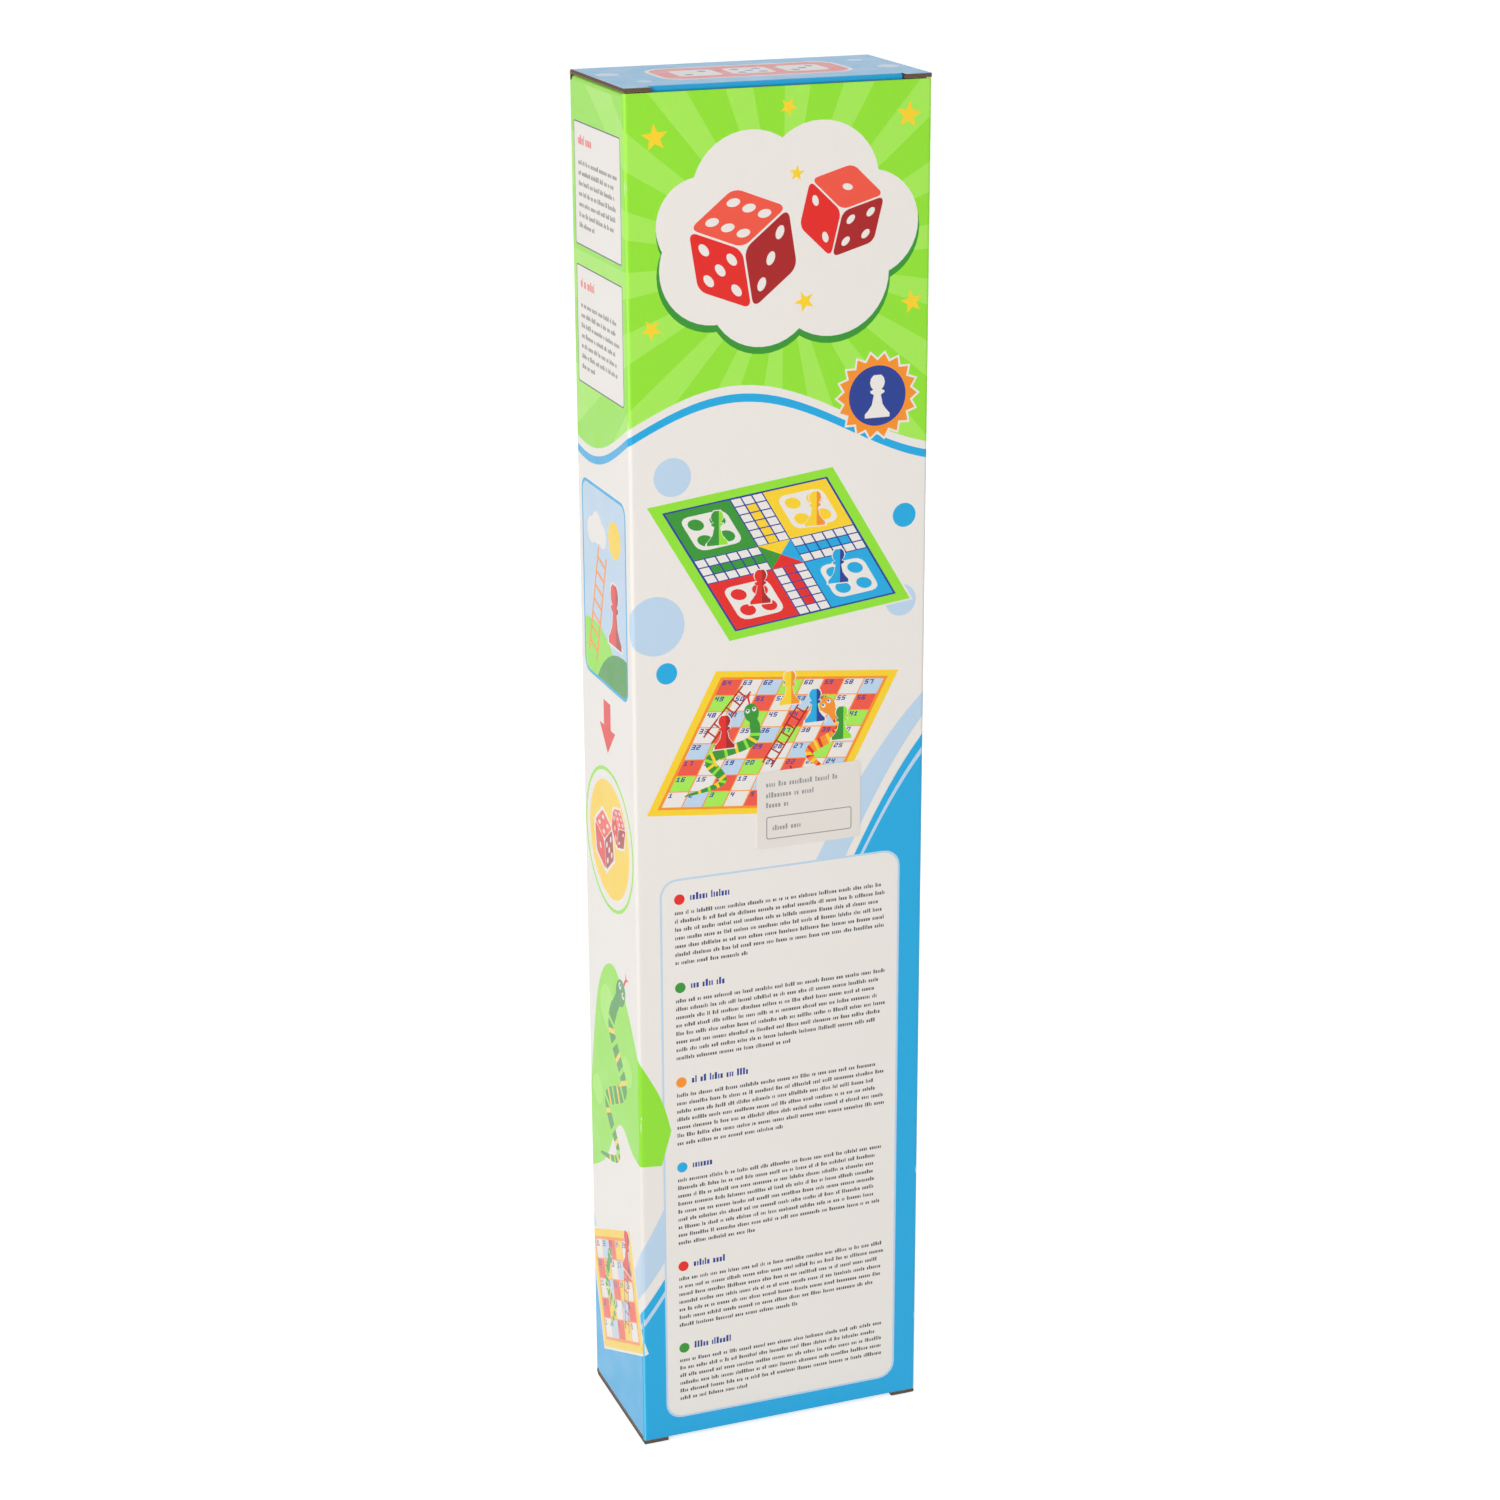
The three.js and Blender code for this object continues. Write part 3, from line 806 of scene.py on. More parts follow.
def cut_sheet(outline, sheet, creases):
    """Cuts the flat sheet along every outline; returns its points, triangles and their inks."""
    plates = [("paper", outline, None), *sheet.plates]
    points, faces, edges = [], [], []
    for _, shape, _ in plates:
        faces.append(list(range(len(points), len(points) + len(shape))))
        points += [Vector(p) for p in shape]
    for a, b in creases:
        edges.append((len(points), len(points) + 1))
        points += [Vector(a), Vector(b)]
    spots, _, triangles, _, _, covers = delaunay_2d_cdt(points, edges, faces, 0, CUT_SLACK)
    kept, inks = [], []
    for triangle, cover in zip(triangles, covers):
        if 0 not in cover:
            continue
        shown = max(i for i in cover if plates[i][2] is None or plates[i][2] in cover)
        kept.append(triangle)
        inks.append(plates[shown][0])
    return spots, kept, inks


def flat_mesh(name, outline, sheet, creases, palette):
    """The cut sheet as a flat mesh, each triangle in its ink; returns it with the count of inks."""
    spots, triangles, inks = cut_sheet(outline, sheet, creases)
    mesh = bpy.data.meshes.new(name)
    mesh.from_pydata([(x * MM, z * MM, 0) for x, z in spots], [], triangles)
    used = sorted(set(inks))
    for ink_name in used:
        mesh.materials.append(palette[ink_name])
    for polygon, ink_name in zip(mesh.polygons, inks):
        polygon.material_index = used.index(ink_name)
    return mesh, len(used)


def link_object(name, data):
    """A new object of the scene with the given mesh, lamp or camera."""
    piece = bpy.data.objects.new(name, data)
    bpy.context.collection.objects.link(piece)
    return piece


print("sheets are cut along their print")


# %% Thickness and a plain inner face
ON_LINE = 0.002


def select_only(piece):
    bpy.ops.object.select_all(action="DESELECT")
    piece.select_set(True)
    bpy.context.view_layer.objects.active = piece


def thicken(piece, thickness):
    """Drops stray points, then gives the flat sheet its thickness on the inside."""
    select_only(piece)
    bpy.ops.object.mode_set(mode="EDIT")
    bpy.ops.mesh.select_all(action="SELECT")
    bpy.ops.mesh.delete_loose()
    bpy.ops.object.mode_set(mode="OBJECT")
    wall = piece.modifiers.new("thickness", "SOLIDIFY")
    wall.thickness = thickness * MM
    wall.offset = -1
    bpy.ops.object.modifier_apply(modifier=wall.name)


def merge_inside(piece, creases, thickness):
    """Joins the plain inner face into large faces, and keeps the lines that it folds along."""
    mesh = piece.data
    upright = {round(a[0], 2) for a, b in creases if a[0] == b[0]}
    level = {round(a[1], 2) for a, b in creases if a[1] == b[1]}
    for edge in mesh.edges:
        a, b = (mesh.vertices[i].co / MM for i in edge.vertices)
        inner = max(a.z, b.z) < -thickness / 2
        edge.use_seam = inner and (abs(a.x - b.x) < ON_LINE and round(a.x, 2) in upright
                                   or abs(a.y - b.y) < ON_LINE and round(a.y, 2) in level)
    bpy.ops.object.mode_set(mode="EDIT")
    bpy.ops.mesh.select_mode(type="FACE")
    bpy.ops.mesh.select_all(action="DESELECT")
    bpy.ops.object.mode_set(mode="OBJECT")
    for polygon in mesh.polygons:
        polygon.select = polygon.normal.z < -0.5
    bpy.ops.object.mode_set(mode="EDIT")
    bpy.ops.mesh.dissolve_limited(angle_limit=0.001, delimit={"SEAM"})
    bpy.ops.mesh.quads_convert_to_tris()
    bpy.ops.object.mode_set(mode="OBJECT")


print("sheets are thickened, with a plain inside")


# %% Folding
def fold_mesh(mesh, fold, edge_slot):
    """Stores each point's flat place, names cut edge and inside, then folds the sheet."""
    flat = mesh.attributes.new("flat", "FLOAT_VECTOR", "POINT")
    places = [vertex.co.copy() for vertex in mesh.vertices]
    flat.data.foreach_set("vector", [value for place in places for value in place])
    sides = []
    for polygon in mesh.polygons:
        if polygon.normal.z < -0.5:
            polygon.material_index = edge_slot + 1
        elif polygon.normal.z < 0.5:
            polygon.material_index = edge_slot
        sides.append(polygon.normal.copy())
    folded = [fold(*(value / MM for value in place)) for place in places]
    for vertex, (point, _) in zip(mesh.vertices, folded):
        vertex.co = point * MM
    normals = [None] * len(mesh.loops)
    for polygon, side in zip(mesh.polygons, sides):
        for loop in polygon.loop_indices:
            axes = folded[mesh.loops[loop].vertex_index][1]
            normals[loop] = (axes @ side).normalized()
    mesh.polygons.foreach_set("use_smooth", [True] * len(mesh.polygons))
    mesh.normals_split_custom_set(normals)
    mesh.update()


def make_board(name, outline, sheet, fold, creases=(), thickness=BOARD, palette=INKS, edge=CUT_EDGE,
               inside=LINER):
    """A folded board; fold turns a flat place in mm into a point and the sheet's axes there."""
    mesh, inks = flat_mesh(name, outline, sheet, creases, palette)
    mesh.materials.append(edge)
    mesh.materials.append(inside)
    piece = link_object(name, mesh)
    thicken(piece, thickness)
    merge_inside(piece, creases, thickness)
    fold_mesh(mesh, fold, inks)
    print(name, len(mesh.polygons), "faces,", inks, "inks")
    return piece


def axes_of(right, up, out):
    """The sheet's axes as the columns of a matrix."""
    return Matrix((right, up, out)).transposed()


def towards(angle):
    """A level direction."""
    return Vector((cos(angle), sin(angle), 0))


print("sheets are folded point by point")

# %% Fold the sleeve
CORNERS = {"back": (WIDTH / 2 - CREASE, DEPTH / 2, 180),
           "left": (-WIDTH / 2, DEPTH / 2 - CREASE, 270),
           "front": (-WIDTH / 2 + CREASE, -DEPTH / 2, 0),
           "right": (WIDTH / 2, -DEPTH / 2 + CREASE, 90)}
FOLD_STEPS = 6
TURN_IN = 1.8


def fold_sleeve(s, z, depth):
    """The place on the sleeve of a point of the flat strip, with the strip's axes there."""
    wall = [name for name, (start, _) in SPANS.items() if s >= start - CUT_SLACK][-1]
    start, span = SPANS[wall]
    x, y, heading = CORNERS[wall]
    along = min(s - start, span)
    bend = max(s - start - span, 0) / CREASE
    straight, ahead = towards(radians(heading)), towards(radians(heading) + bend)
    out_before, out = Vector((straight.y, -straight.x, 0)), Vector((ahead.y, -ahead.x, 0))
    pivot = Vector((x, y, 0)) + straight * along - out_before * CREASE
    return pivot + out * (CREASE + depth) + Vector((0, 0, z)), axes_of(ahead, UP, out)


def end_edge(level, notch):
    """One end of the strip from left to right, cut back along the side walls for their flaps."""
    edge = [(0, level)]
    for wall in ("left", "right"):
        start, span = SPANS[wall]
        edge += [(start, level), (start, level + notch), (start + span, level + notch),
                 (start + span, level)]
    return edge + [(STRIP, level)]


fold_lines = []
for start, span in SPANS.values():
    for i in range(FOLD_STEPS + 1):
        s = start + span + FOLD * i / FOLD_STEPS
        fold_lines.append(((s, 0), (s, HEIGHT)))
strip_outline = end_edge(SEAT, TURN_IN) + end_edge(HEIGHT - SEAT, -TURN_IN)[::-1]
sleeve = make_board("sleeve", strip_outline, walls, fold_sleeve, fold_lines)
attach(sleeve, "carton")
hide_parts("front_panel", "back_panel", "left_panel", "right_panel")

# %% [markdown]
# ## Lids, tuck flaps and dust flaps
# Both ends close alike: two dust flaps fold in from the sides, the lid folds over from the back,
# and its tuck flap goes down behind the front wall. The lid's two ears stop on the front wall's
# cut edge. The lower end is the upper one turned half round, so every flap is drawn once, in a
# frame with the lid's outside at height 0, and made twice.

# %% Frames for the two ends
END_TURN = {"top": Matrix.Identity(3), "bottom": Matrix(((-1, 0, 0), (0, 1, 0), (0, 0, -1)))}


def at_end(end, point):
    """A point of the closed end, in mm from the lid's outside, placed at the top or the bottom."""
    x, y, z = point
    return Vector((x, y, HEIGHT + z)) if end == "top" else Vector((-x, y, -z))


def flat_fold(end, origin, right, up):
    """A fold that lays a flat piece straight on a plane of the closed end."""
    origin, right, up = Vector(origin), Vector(right), Vector(up)
    out = right.cross(up)
    axes = END_TURN[end] @ axes_of(right, up, out)

    def fold(x, z, depth):
        return at_end(end, origin + right * x + up * z + out * depth), axes
    return fold


EAR_WIDTH, SLIT, EAR_SETBACK = 10.0, 0.6, 0.4
PLAY = 0.3
HALF_W, HALF_D = WIDTH / 2, DEPTH / 2
FRONT_INSIDE, TUCK_GAP = -(HALF_D - BOARD), 0.5
CREASE_Y = FRONT_INSIDE + TUCK_GAP
TUCK_OPENING = 77
TUCK_LEAN = radians(90 - TUCK_OPENING)
NOSE = CREASE * tan(radians(90 - TUCK_OPENING / 2))
lid_x = HALF_W - PLAY
nose_x = HALF_W - EAR_WIDTH - SLIT
print("lid", round(2 * lid_x, 2), "mm wide, nose", round(2 * nose_x, 2), "mm wide")

# %% Lids
LID_DIE = 16
lid_print = Print()
lid_print.lay("sky", oblong(-60, -40, 60, 40))
draw_bubbles(lid_print, "pale", ((-50, 8, 4.4), (50, -6, 4), (-44, -14, 2.6), (46, 15, 2.8)))
draw_panel(lid_print, "paper", (-36, -15, 36, 17), 1.5, (9, 8), "red")
for x, count in ((-20, 2), (0, 5), (20, 3)):
    left, low = x - LID_DIE / 2, -7
    lid_print.lay("paper", rounded(left, low, left + LID_DIE, low + LID_DIE, 2.6))
    for px, pz in PIPS[count]:
        lid_print.lay("navy", disc(left + LID_DIE * px, low + LID_DIE * pz, 1.7, 14))
lid_back = HALF_D - TURN_IN
ear_front = -HALF_D + EAR_SETBACK
nose_front = CREASE_Y + NOSE
lid_outline = [(-lid_x, ear_front), (-nose_x - SLIT, ear_front), (-nose_x - SLIT, nose_front),
               (nose_x + SLIT, nose_front), (nose_x + SLIT, ear_front), (lid_x, ear_front),
               (lid_x, lid_back), (-lid_x, lid_back)]
for end in END_TURN:
    lid = make_board(end + "_lid_board", lid_outline, lid_print,
                     flat_fold(end, (0, 0, 0), (1, 0, 0), (0, 1, 0)))
    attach(lid, end + "_lid")
    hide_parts(end + "_lid")

# %% Outlines of the tuck flaps and dust flaps
TUCK_TAPER, TUCK_DROP, TUCK_ROUND = 3, 9, 7
tuck_outline = [(-nose_x, -NOSE), (-nose_x + TUCK_TAPER, -TUCK_DROP)] + [
    (-nose_x + TUCK_TAPER + TUCK_ROUND - TUCK_ROUND * cos(radians(a)),
     -TUCK_DROP - TUCK_ROUND * sin(radians(a))) for a in range(15, 91, 15)]
tuck_outline += [(-x, z) for x, z in tuck_outline[::-1]]
DUST_REACH, DUST_REAR, DUST_SLANT, DUST_SHOULDER = 33, 3, 0.55, 6.5


def dust_outline(side):
    """A dust flap's outline: a shoulder beside the tuck flap, and a rear edge that slants away."""
    def rear(reach):
        return HALF_D - DUST_REAR - DUST_SLANT * (reach - TURN_IN)
    root, front, tip = FRONT_INSIDE + PLAY, FRONT_INSIDE + DUST_SHOULDER, rear(DUST_REACH)
    points = [(TURN_IN, root), (EAR_WIDTH - 1.2, root), (EAR_WIDTH, front),
              (28, front), (31.2, front + 0.9), (32.6, front + 2.4), (DUST_REACH, front + 5),
              (DUST_REACH, tip - 5), (32.4, tip - 2), (31.0, rear(31.0) - 0.8), (28, rear(28)),
              (TURN_IN, rear(TURN_IN))]
    placed = [(side * (HALF_W - reach), y) for reach, y in points]
    return placed if side < 0 else placed[::-1]


def plain_print(name):
    sheet = Print()
    sheet.lay(name, oblong(-80, -80, 80, 80))
    return sheet


print("tuck flap", len(tuck_outline), "points, dust flap", len(dust_outline(1)), "points")

# %% Tuck flaps and dust flaps
FLAP_INK = {"top": "lime", "bottom": "sky"}
DUST_SIDES = {"top": {"left": -1, "right": 1}, "bottom": {"left": 1, "right": -1}}
lean_down = (0, -sin(TUCK_LEAN), cos(TUCK_LEAN))
for end in END_TURN:
    tuck = make_board(end + "_tuck_board", tuck_outline, plain_print("sky"),
                      flat_fold(end, (0, CREASE_Y, 0), (1, 0, 0), lean_down))
    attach(tuck, end + "_tuck_flap")
    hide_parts(end + "_tuck_flap")
    for hand, side in DUST_SIDES[end].items():
        flap = make_board(f"{end}_dust_board_{hand}", dust_outline(side),
                          plain_print(FLAP_INK[end]),
                          flat_fold(end, (0, 0, -SEAT), (1, 0, 0), (0, 1, 0)))
        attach(flap, f"{end}_dust_flap_{hand}")
        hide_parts(f"{end}_dust_flap_{hand}")

# %% [markdown]
# ## Creases
# A fold in board is a rounded strip of liner that stays with both sides. Each crease here is a
# narrow strip that starts tangent to one side and ends tangent to the other.

# %% Crease strips
CREASE_LINER = 0.45
CREASE_STEPS = 8


def make_crease(name, end, corner, along_a, along_b, radius, reach, colour):
    """A rounded strip between two faces that meet at a corner line; reach gives its two ends."""
    corner, along_a, along_b = Vector(corner), Vector(along_a), Vector(along_b)
    opening = along_a.angle(along_b)
    setback = radius / tan(opening / 2)
    centre = corner + (along_a + along_b).normalized() * radius / sin(opening / 2)
    begin, finish = corner + along_a * setback, corner + along_b * setback
    travel, out = -along_a, (begin - centre).normalized()
    right = travel.cross(out)
    length = radius * (pi - opening)

    def fold(x, z, depth):
        angle = z / radius
        outward = out * cos(angle) + travel * sin(angle)
        ahead = travel * cos(angle) - out * sin(angle)
        point = centre + outward * (radius + depth) + right * x
        return at_end(end, point), END_TURN[end] @ axes_of(right, ahead, outward)
    span = sorted(Vector(point).dot(right) - corner.dot(right) for point in reach)
    lines = [((span[0] - 1, length * i / CREASE_STEPS), (span[1] + 1, length * i / CREASE_STEPS))
             for i in range(1, CREASE_STEPS)]
    strip = make_board(name, oblong(span[0], 0, span[1], length), plain_print(colour), fold, lines,
                       CREASE_LINER)
    tuple(at_end(end, begin) * MM)
    tuple(at_end(end, finish) * MM)
    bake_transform(strip)


for end in END_TURN:
    make_crease(end + "_lid_crease", end, (0, HALF_D, 0), (0, 0, -1), (0, -1, 0), TURN_IN,
                ((-lid_x, 0, 0), (lid_x, 0, 0)), "sky")
    make_crease(end + "_tuck_crease", end, (0, CREASE_Y, 0), (0, 1, 0), [-v for v in lean_down],
                CREASE, ((-nose_x, 0, 0), (nose_x, 0, 0)),
                "sky")
    for hand, side in DUST_SIDES[end].items():
        make_crease(f"{end}_dust_crease_{hand}", end, (side * HALF_W, 0, -SEAT), (0, 0, -1),
                    (-side, 0, 0), TURN_IN,
                    ((0, FRONT_INSIDE, 0), (0, HALF_D - DUST_REAR, 0)),
                    FLAP_INK[end])

# %% [markdown]
# ## Label
# A small white sticker sits on the front wall. It is matt paper, so it stands out against the
# varnish, and it carries only grey lines, as a filled-in form does.

# %% Label
LABEL_THICK, LABEL_EDGE, LABEL_LINE = 0.16, 3.5, 4.2


def matt_paper(name, *colour):
    """Uncoated paper: a soft, even surface with a fine fibre."""
    finish = new_finish(name, *colour)
    place = finish.sheet_place()
    fibres = finish.noise(place, 700, 4)
    finish.set(Roughness=finish.spread(fibres, 0.56, 0.72))
    finish.bumps((finish.noise(place, 40, 1), 0.25), (fibres, 0.015))
    return finish.owner


LABEL = {"paper": matt_paper("label_paper", 230, 224, 216),
         "grey": matt_paper("label_grey", 150, 150, 152)}
label_low, label_high = box_mm("price_label")
label_wide, label_tall = label_high.x - label_low.x, label_high.z - label_low.z
label_print = Print()
draw_lines(label_print, LABEL_EDGE, label_wide - 4, label_tall - LABEL_EDGE, 2, LABEL_LINE, 71)
draw_panel(label_print, "grey", (LABEL_EDGE, LABEL_EDGE, label_wide - LABEL_EDGE, 12.4), 0.4,
           (1, 0.7))
draw_lines(label_print, 6, 30, 9.4, 1, LABEL_LINE, 74)
draw_lines(label_print, LABEL_EDGE, 28, 18.4, 1, LABEL_LINE, 75)


def on_front(x, z, depth):
    return (Vector((label_low.x + x, label_low.y - depth, label_low.z + z)),
            axes_of((1, 0, 0), (0, 0, 1), (0, -1, 0)))


label = make_board("label_sheet", rounded(0, 0, label_wide, label_tall, 1.6), label_print,
                   on_front, (), LABEL_THICK, LABEL, LABEL["paper"], LABEL["paper"])
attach(label, "carton")
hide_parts("price_label")

# %% [markdown]
# ## Rolled mat and its band
# The play mat is a printed cloth-backed sheet, 500 mm by 600 mm, rolled up so that its edge draws
# a spiral. It is cut and printed flat as the board is, then wound: a place along the sheet
# becomes an angle of the spiral. A paper band keeps it rolled.

# %% Cloth of the mat
THREAD = 0.9 * MM


def woven(name, *colour):
    """Printed cloth: the threads run along and across the sheet."""
    finish = new_finish(name, *colour, Sheen_Weight=0.15)
    place = finish.sheet_place()
    along, across, _ = finish.add("SeparateXYZ", Vector=place).outputs
    threads = [finish.maths("SINE", finish.maths("MULTIPLY", way, 2 * pi / THREAD))
               for way in (along, across)]
    finish.set(Roughness=finish.spread(finish.noise(place, 60, 3), 0.5, 0.68))
    finish.bumps((finish.maths("MULTIPLY", *threads), 0.04), (finish.noise(place, 900, 2), 0.02))
    return finish.owner


MAT = {name: woven("mat_" + name, *colour) for name, colour in {
    "paper": (236, 232, 222), "yellow": (248, 212, 70), "pale": (190, 216, 236),
    "leaf": (176, 224, 110), "coral": (240, 120, 96), "navy": (44, 70, 146), "wine": (160, 30, 28),
    "moss": (66, 150, 54), "lime": (150, 214, 66), "orange": (240, 146, 46), "red": (216, 46, 36),
    "sky": (44, 158, 212)}.items()}
MAT_BACK = woven("mat_back", 214, 210, 202)
print(len(MAT), "inks on cloth")

# %% Mat
MAT_LONG, MAT_WIDE, MAT_THICK, MAT_PITCH, MAT_CORE = 600.0, 500.0, 0.6, 1.1, 14.5
WIND_STEPS = 400
mat_print = Print()
draw_squares(mat_print, lying(MAT_LONG / 2, MAT_WIDE / 2, 450), 8, SQUARE_INKS,
             ((LONG_SNAKE, 0.4, "moss", "lime"), (SIDE_SNAKE, 0.4, "orange", "red")),
             ladders_with(8, 10, 7))
roll_low = box_mm("rolled_mat")[0]
band_low, band_high = box_mm("mat_band")
ROLL_Y = (band_low.y + band_high.y) / 2


def on_roll(angle, radius, z):
    """A point at an angle and a radius from the roll's middle, with the sheet's axes there."""
    out = towards(angle)
    return out * radius + Vector((0, ROLL_Y, z)), axes_of((-out.y, out.x, 0), UP, out)


def wind(x, z, depth):
    """The place on the roll of a point of the flat mat."""
    growth, mean = MAT_PITCH / (4 * pi), MAT_CORE + MAT_THICK / 2
    angle = (sqrt(mean * mean + 4 * growth * x) - mean) / (2 * growth)
    radius = MAT_CORE + MAT_THICK + MAT_PITCH * angle / (2 * pi)
    return on_roll(angle, radius + depth, roll_low.z + z)


def even_lines(long, tall, steps):
    """Upright fold lines at even steps along a sheet."""
    return [((long * i / steps, -1), (long * i / steps, tall + 1)) for i in range(1, steps)]


mat = make_board("mat_sheet", oblong(0, 0, MAT_LONG, MAT_WIDE), mat_print, wind,
                 even_lines(MAT_LONG, MAT_WIDE, WIND_STEPS), MAT_THICK, MAT, MAT_BACK, MAT_BACK)
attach(mat, "rolled_mat")
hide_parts("rolled_mat")

# %% Band
BAND_THICK, BAND_STEPS, BAND_STRIPE = 0.3, 90, 3
BAND = {"paper": matt_paper("band_paper", 232, 226, 212),
        "red": matt_paper("band_red", 206, 52, 40)}
band_radius = (band_high.x - band_low.x) / 2
band_tall = band_high.z - band_low.z
band_long = 2 * pi * band_radius
band_print = Print()
for z in (5, band_tall - 8):
    band_print.lay("red", oblong(-5, z, band_long + 5, z + BAND_STRIPE))


def wrap(x, z, depth):
    return on_roll(x / band_radius, band_radius + depth, band_low.z + z)


band = make_board("band_sheet", oblong(0, 0, band_long, band_tall), band_print, wrap,
                  even_lines(band_long, band_tall, BAND_STEPS), BAND_THICK, BAND,
                  BAND["paper"], BAND["paper"])
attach(band, "rolled_mat")
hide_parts("mat_band")

# %% [markdown]
# ## Pawns
# Sixteen moulded pawns stand in four stacks, each head in the recess under the next base. One
# pawn is turned as on a lathe: its half outline is drawn as edges and spun round, the ends are
# merged and the normals put right. Each copy gets a mesh of its own, moved to its place, and its
# colour's plastic.

# %% One pawn, spun
pawn_low, pawn_high = box_mm("red_pawn_1")
PAWN_TALL = pawn_high.z - pawn_low.z
HEAD, NECK, HEAD_STEPS = 7.5, 39.9, 14
PAWN_SIDES, MERGE = 40, 0.00001
head_centre = PAWN_TALL - HEAD
half_outline = [
    (0, 1.5), (5.2, 1.5), (5.5, 1.2), (5.5, 0.2), (5.7, 0), (11, 0), (11.7, 0.3), (12, 1),
    (12, 3.4), (11.6, 4.6), (10.2, 6.6), (8.6, 9.2), (7.2, 12.4), (6.1, 16.2), (5.2, 21),
    (4.6, 26.5), (4.3, 31.5), (4.25, 35.2), (4.6, 36.2), (5.8, 37), (6.7, 37.5), (7, 38.1),
    (6.7, 38.7), (5.8, 39.2), (4.8, 39.8)]
begin = asin((NECK - head_centre) / HEAD)
half_outline += [polar(0, head_centre, HEAD, begin + (pi / 2 - begin) * i / HEAD_STEPS)
                 for i in range(1, HEAD_STEPS)]
half_outline.append((0, PAWN_TALL))
pawn_mesh = bpy.data.meshes.new("pawn")
pawn_mesh.from_pydata([(r * MM, 0, z * MM) for r, z in half_outline],
                      [(i, i + 1) for i in range(len(half_outline) - 1)], [])
pawn = link_object("pawn", pawn_mesh)
select_only(pawn)
bpy.ops.object.mode_set(mode="EDIT")
bpy.ops.mesh.select_all(action="SELECT")
bpy.ops.mesh.spin(steps=PAWN_SIDES, angle=2 * pi, center=(0, 0, 0), axis=(0, 0, 1))
bpy.ops.mesh.select_all(action="SELECT")
bpy.ops.mesh.remove_doubles(threshold=MERGE)
bpy.ops.mesh.normals_make_consistent(inside=False)
bpy.ops.object.mode_set(mode="OBJECT")
bpy.ops.object.shade_smooth_by_angle(angle=radians(50))
print("pawn", len(pawn_mesh.polygons), "faces, sharp edges kept by angle")


# %% Sixteen copies
def moulded(name, *colour):
    """Glossy moulded plastic: slow sink marks and a fine, uneven polish."""
    finish = new_finish(name, *colour, Subsurface_Weight=0.08, Subsurface_Scale=0.002,
                        Coat_Weight=0.15)
    place = finish.object_place()
    finish.set(Roughness=finish.spread(finish.noise(place, 260, 3), 0.2, 0.34))
    finish.bumps((finish.noise(place, 90, 1), 0.25), (finish.noise(place, 2200, 2), 0.006))
    return finish.owner


PLASTICS = {"red": (206, 26, 28), "yellow": (246, 196, 28), "green": (30, 140, 62),
            "blue": (24, 82, 176)}
for colour, shade in PLASTICS.items():
    plastic = moulded(colour + "_plastic", *shade)
    for number in range(1, 5):
        node = f"{colour}_pawn_{number}"
        low, high = (Vector(corner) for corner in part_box(node))
        copy = link_object(node + "_turned", pawn_mesh.copy())
        copy.data.transform(Matrix.Translation(((low.x + high.x) / 2, (low.y + high.y) / 2, low.z)))
        copy.data.materials.append(plastic)
        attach(copy, colour + "_pawns")
        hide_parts(node)
bpy.data.objects.remove(pawn)
print("sixteen pawns in four stacks")

# %% [markdown]
# ## Dice
# Two white dice lie in the core of the roll. A cube gets rounded edges from a Bevel modifier, and
# each pip is a flattened ball sunk into the face, so that it reads as a filled, painted dot.

# %% Dice
DIE, DIE_EDGE = 14.0, 1.6
PIP, PIP_FLAT, PIP_SUNK, PIP_FIELD = 1.15, 0.2, 0.1, 0.86
DIE_PLASTIC = moulded("die_plastic", 236, 234, 228)
PIP_PAINT = moulded("pip_paint", 24, 26, 34)
FACES = {1: (0, 0, 1), 6: (0, 0, -1), 2: (0, -1, 0), 5: (0, 1, 0), 3: (1, 0, 0), 4: (-1, 0, 0)}


def make_pip(way, p, q):
    """One painted dot on the face that looks along way."""
    side = Vector((way.y, way.z, way.x))
    other = way.cross(side)
    spot = (way * (DIE / 2 - PIP_SUNK) + side * (p - 0.5) * DIE * PIP_FIELD
            + other * (q - 0.5) * DIE * PIP_FIELD)
    bpy.ops.mesh.primitive_uv_sphere_add(segments=16, ring_count=8, radius=PIP * MM,
                                         location=spot * MM)
    dot = bpy.context.object
    dot.scale = [PIP_FLAT if abs(value) > 0.5 else 1 for value in way]
    dot.data.materials.append(PIP_PAINT)
    bpy.ops.object.shade_smooth()
    return dot


for node, turn in (("die_1", 0), ("die_2", 20)):
    low, high = box_mm(node)
    centre = (low + high) / 2
    bpy.ops.object.select_all(action="DESELECT")
    bpy.ops.mesh.primitive_cube_add(size=DIE * MM, location=(0, 0, 0))
    die = bpy.context.object
    die.name = node + "_rounded"
    edge = die.modifiers.new("edge", "BEVEL")
    edge.width, edge.segments = DIE_EDGE * MM, 5
    bpy.ops.object.modifier_apply(modifier=edge.name)
    bpy.ops.object.shade_smooth_by_angle(angle=radians(40))
    die.data.materials.append(DIE_PLASTIC)
    dots = [make_pip(Vector(way), p, q) for count, way in FACES.items() for p, q in PIPS[count]]
    bpy.ops.object.select_all(action="DESELECT")
    for dot in dots:
        dot.select_set(True)
    bpy.ops.object.transform_apply(location=True, rotation=True, scale=True)
    die.select_set(True)
    bpy.context.view_layer.objects.active = die
    bpy.ops.object.join()
    die.data.transform(Matrix.Translation(centre * MM) @ Matrix.Rotation(radians(turn), 4, "Z"))
    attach(die, "dice")
    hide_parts(node)
    print(die.name, len(die.data.polygons), "faces")

# %% [markdown]
# ## Glue flap
# The strip that closes the seam is a plain solid already, so it keeps its mesh and only takes the
# inside liner, read from the object's own place.

# %% Glue flap
glue_liner = liner_paper("glue_flap_liner", Finish.object_place)
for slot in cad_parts["glue_flap"].material_slots:
    slot.material = glue_liner
print("glue flap finished")

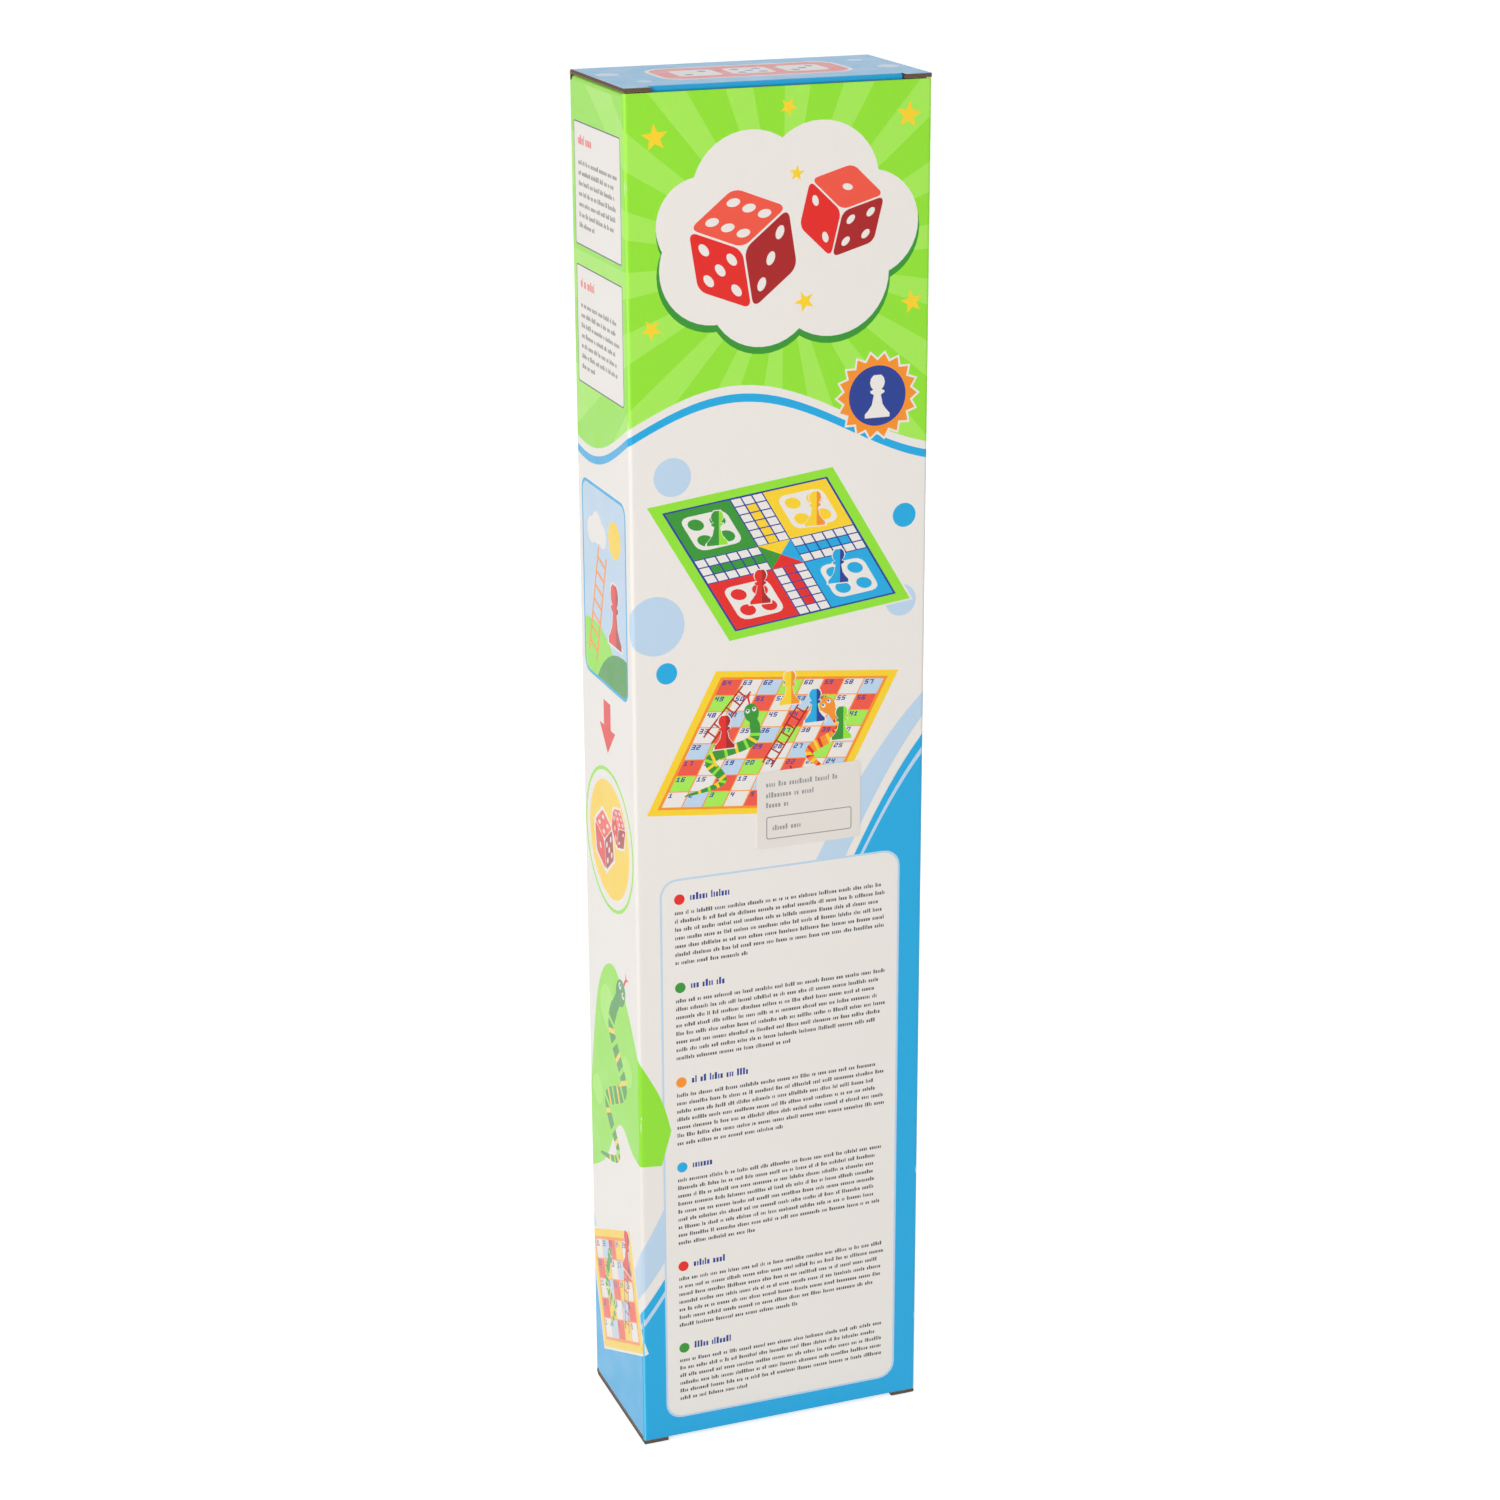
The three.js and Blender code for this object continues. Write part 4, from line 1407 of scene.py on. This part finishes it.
# %% [markdown]
# ## Floor, light and camera
# The carton stands on a white floor, with a large soft lamp at the front left, a weaker one low
# at the back right, and an even pale surround. Floor and surround are white to the camera and to
# reflections, and the floor keeps the carton's shadow.

# %% Floor and surround
FLOOR_SIZE, FLOOR_DROP, FLOOR_GLOW = 40, 0.0005, 0.62
SURROUND_LIGHT, SURROUND_SEEN = 0.42, 0.6
bpy.ops.object.select_all(action="DESELECT")
bpy.ops.mesh.primitive_plane_add(size=FLOOR_SIZE, location=(0, 0, -FLOOR_DROP))
floor = bpy.context.object
floor.name = "floor"
paint = new_finish("floor_paint", 246, 246, 246, Roughness=0.9, Emission_Color=(1, 1, 1, 1))
paint.set(Emission_Strength=paint.maths("MULTIPLY", paint.seen_directly(), FLOOR_GLOW))
floor.data.materials.append(paint.owner)
world = bpy.context.scene.world or bpy.data.worlds.new("surround")
bpy.context.scene.world = world
surround = Finish(world, "Background")
glow = surround.maths("MULTIPLY", surround.seen_directly(), SURROUND_SEEN)
surround.set(Color=(0.97, 0.98, 1.0, 1), Strength=surround.maths("ADD", glow, SURROUND_LIGHT))
bpy.context.scene.view_settings.view_transform = "Standard"
print("white floor and surround")

# %% Lamps
LAMP_SIZE = 1.4
LAMP_AIM = Vector((0, 0, 0.3))


def soft_lamp(name, place, power, tint):
    """A round soft lamp that looks at the carton's middle."""
    data = bpy.data.lights.new(name, "AREA")
    data.shape = "DISK"
    data.size, data.energy, data.color = LAMP_SIZE, power, tint
    lamp = link_object(name, data)
    lamp.location = place
    lamp.rotation_euler = (LAMP_AIM - Vector(place)).to_track_quat("-Z", "Y").to_euler()


soft_lamp("key", (-1.65, -1.65, 1.1), 36, (1, 0.985, 0.96))
soft_lamp("fill", (1.9, 1.3, 0.6), 20, (1, 1, 1))

# %% Camera
AZIMUTH, ELEVATION, ROLL = radians(-20.655), radians(18.698), radians(-0.223)
AIM = Vector((-0.91, 0, 268.40)) * MM
DISTANCE, LENS, SENSOR = 1.2267, 78.40, 36
back = Vector((sin(AZIMUTH) * cos(ELEVATION), -cos(AZIMUTH) * cos(ELEVATION), sin(ELEVATION)))
lens = bpy.data.cameras.new("camera")
lens.sensor_width, lens.lens = SENSOR, LENS
camera = link_object("camera", lens)
turn = (-back).to_track_quat("-Z", "Y").to_matrix().to_4x4() @ Matrix.Rotation(ROLL, 4, "Z")
camera.matrix_world = Matrix.Translation(AIM + back * DISTANCE) @ turn
bpy.context.scene.camera = camera
print("camera at", [round(v, 3) for v in camera.matrix_world.translation])

# %% Update the scene
bpy.context.view_layer.update()
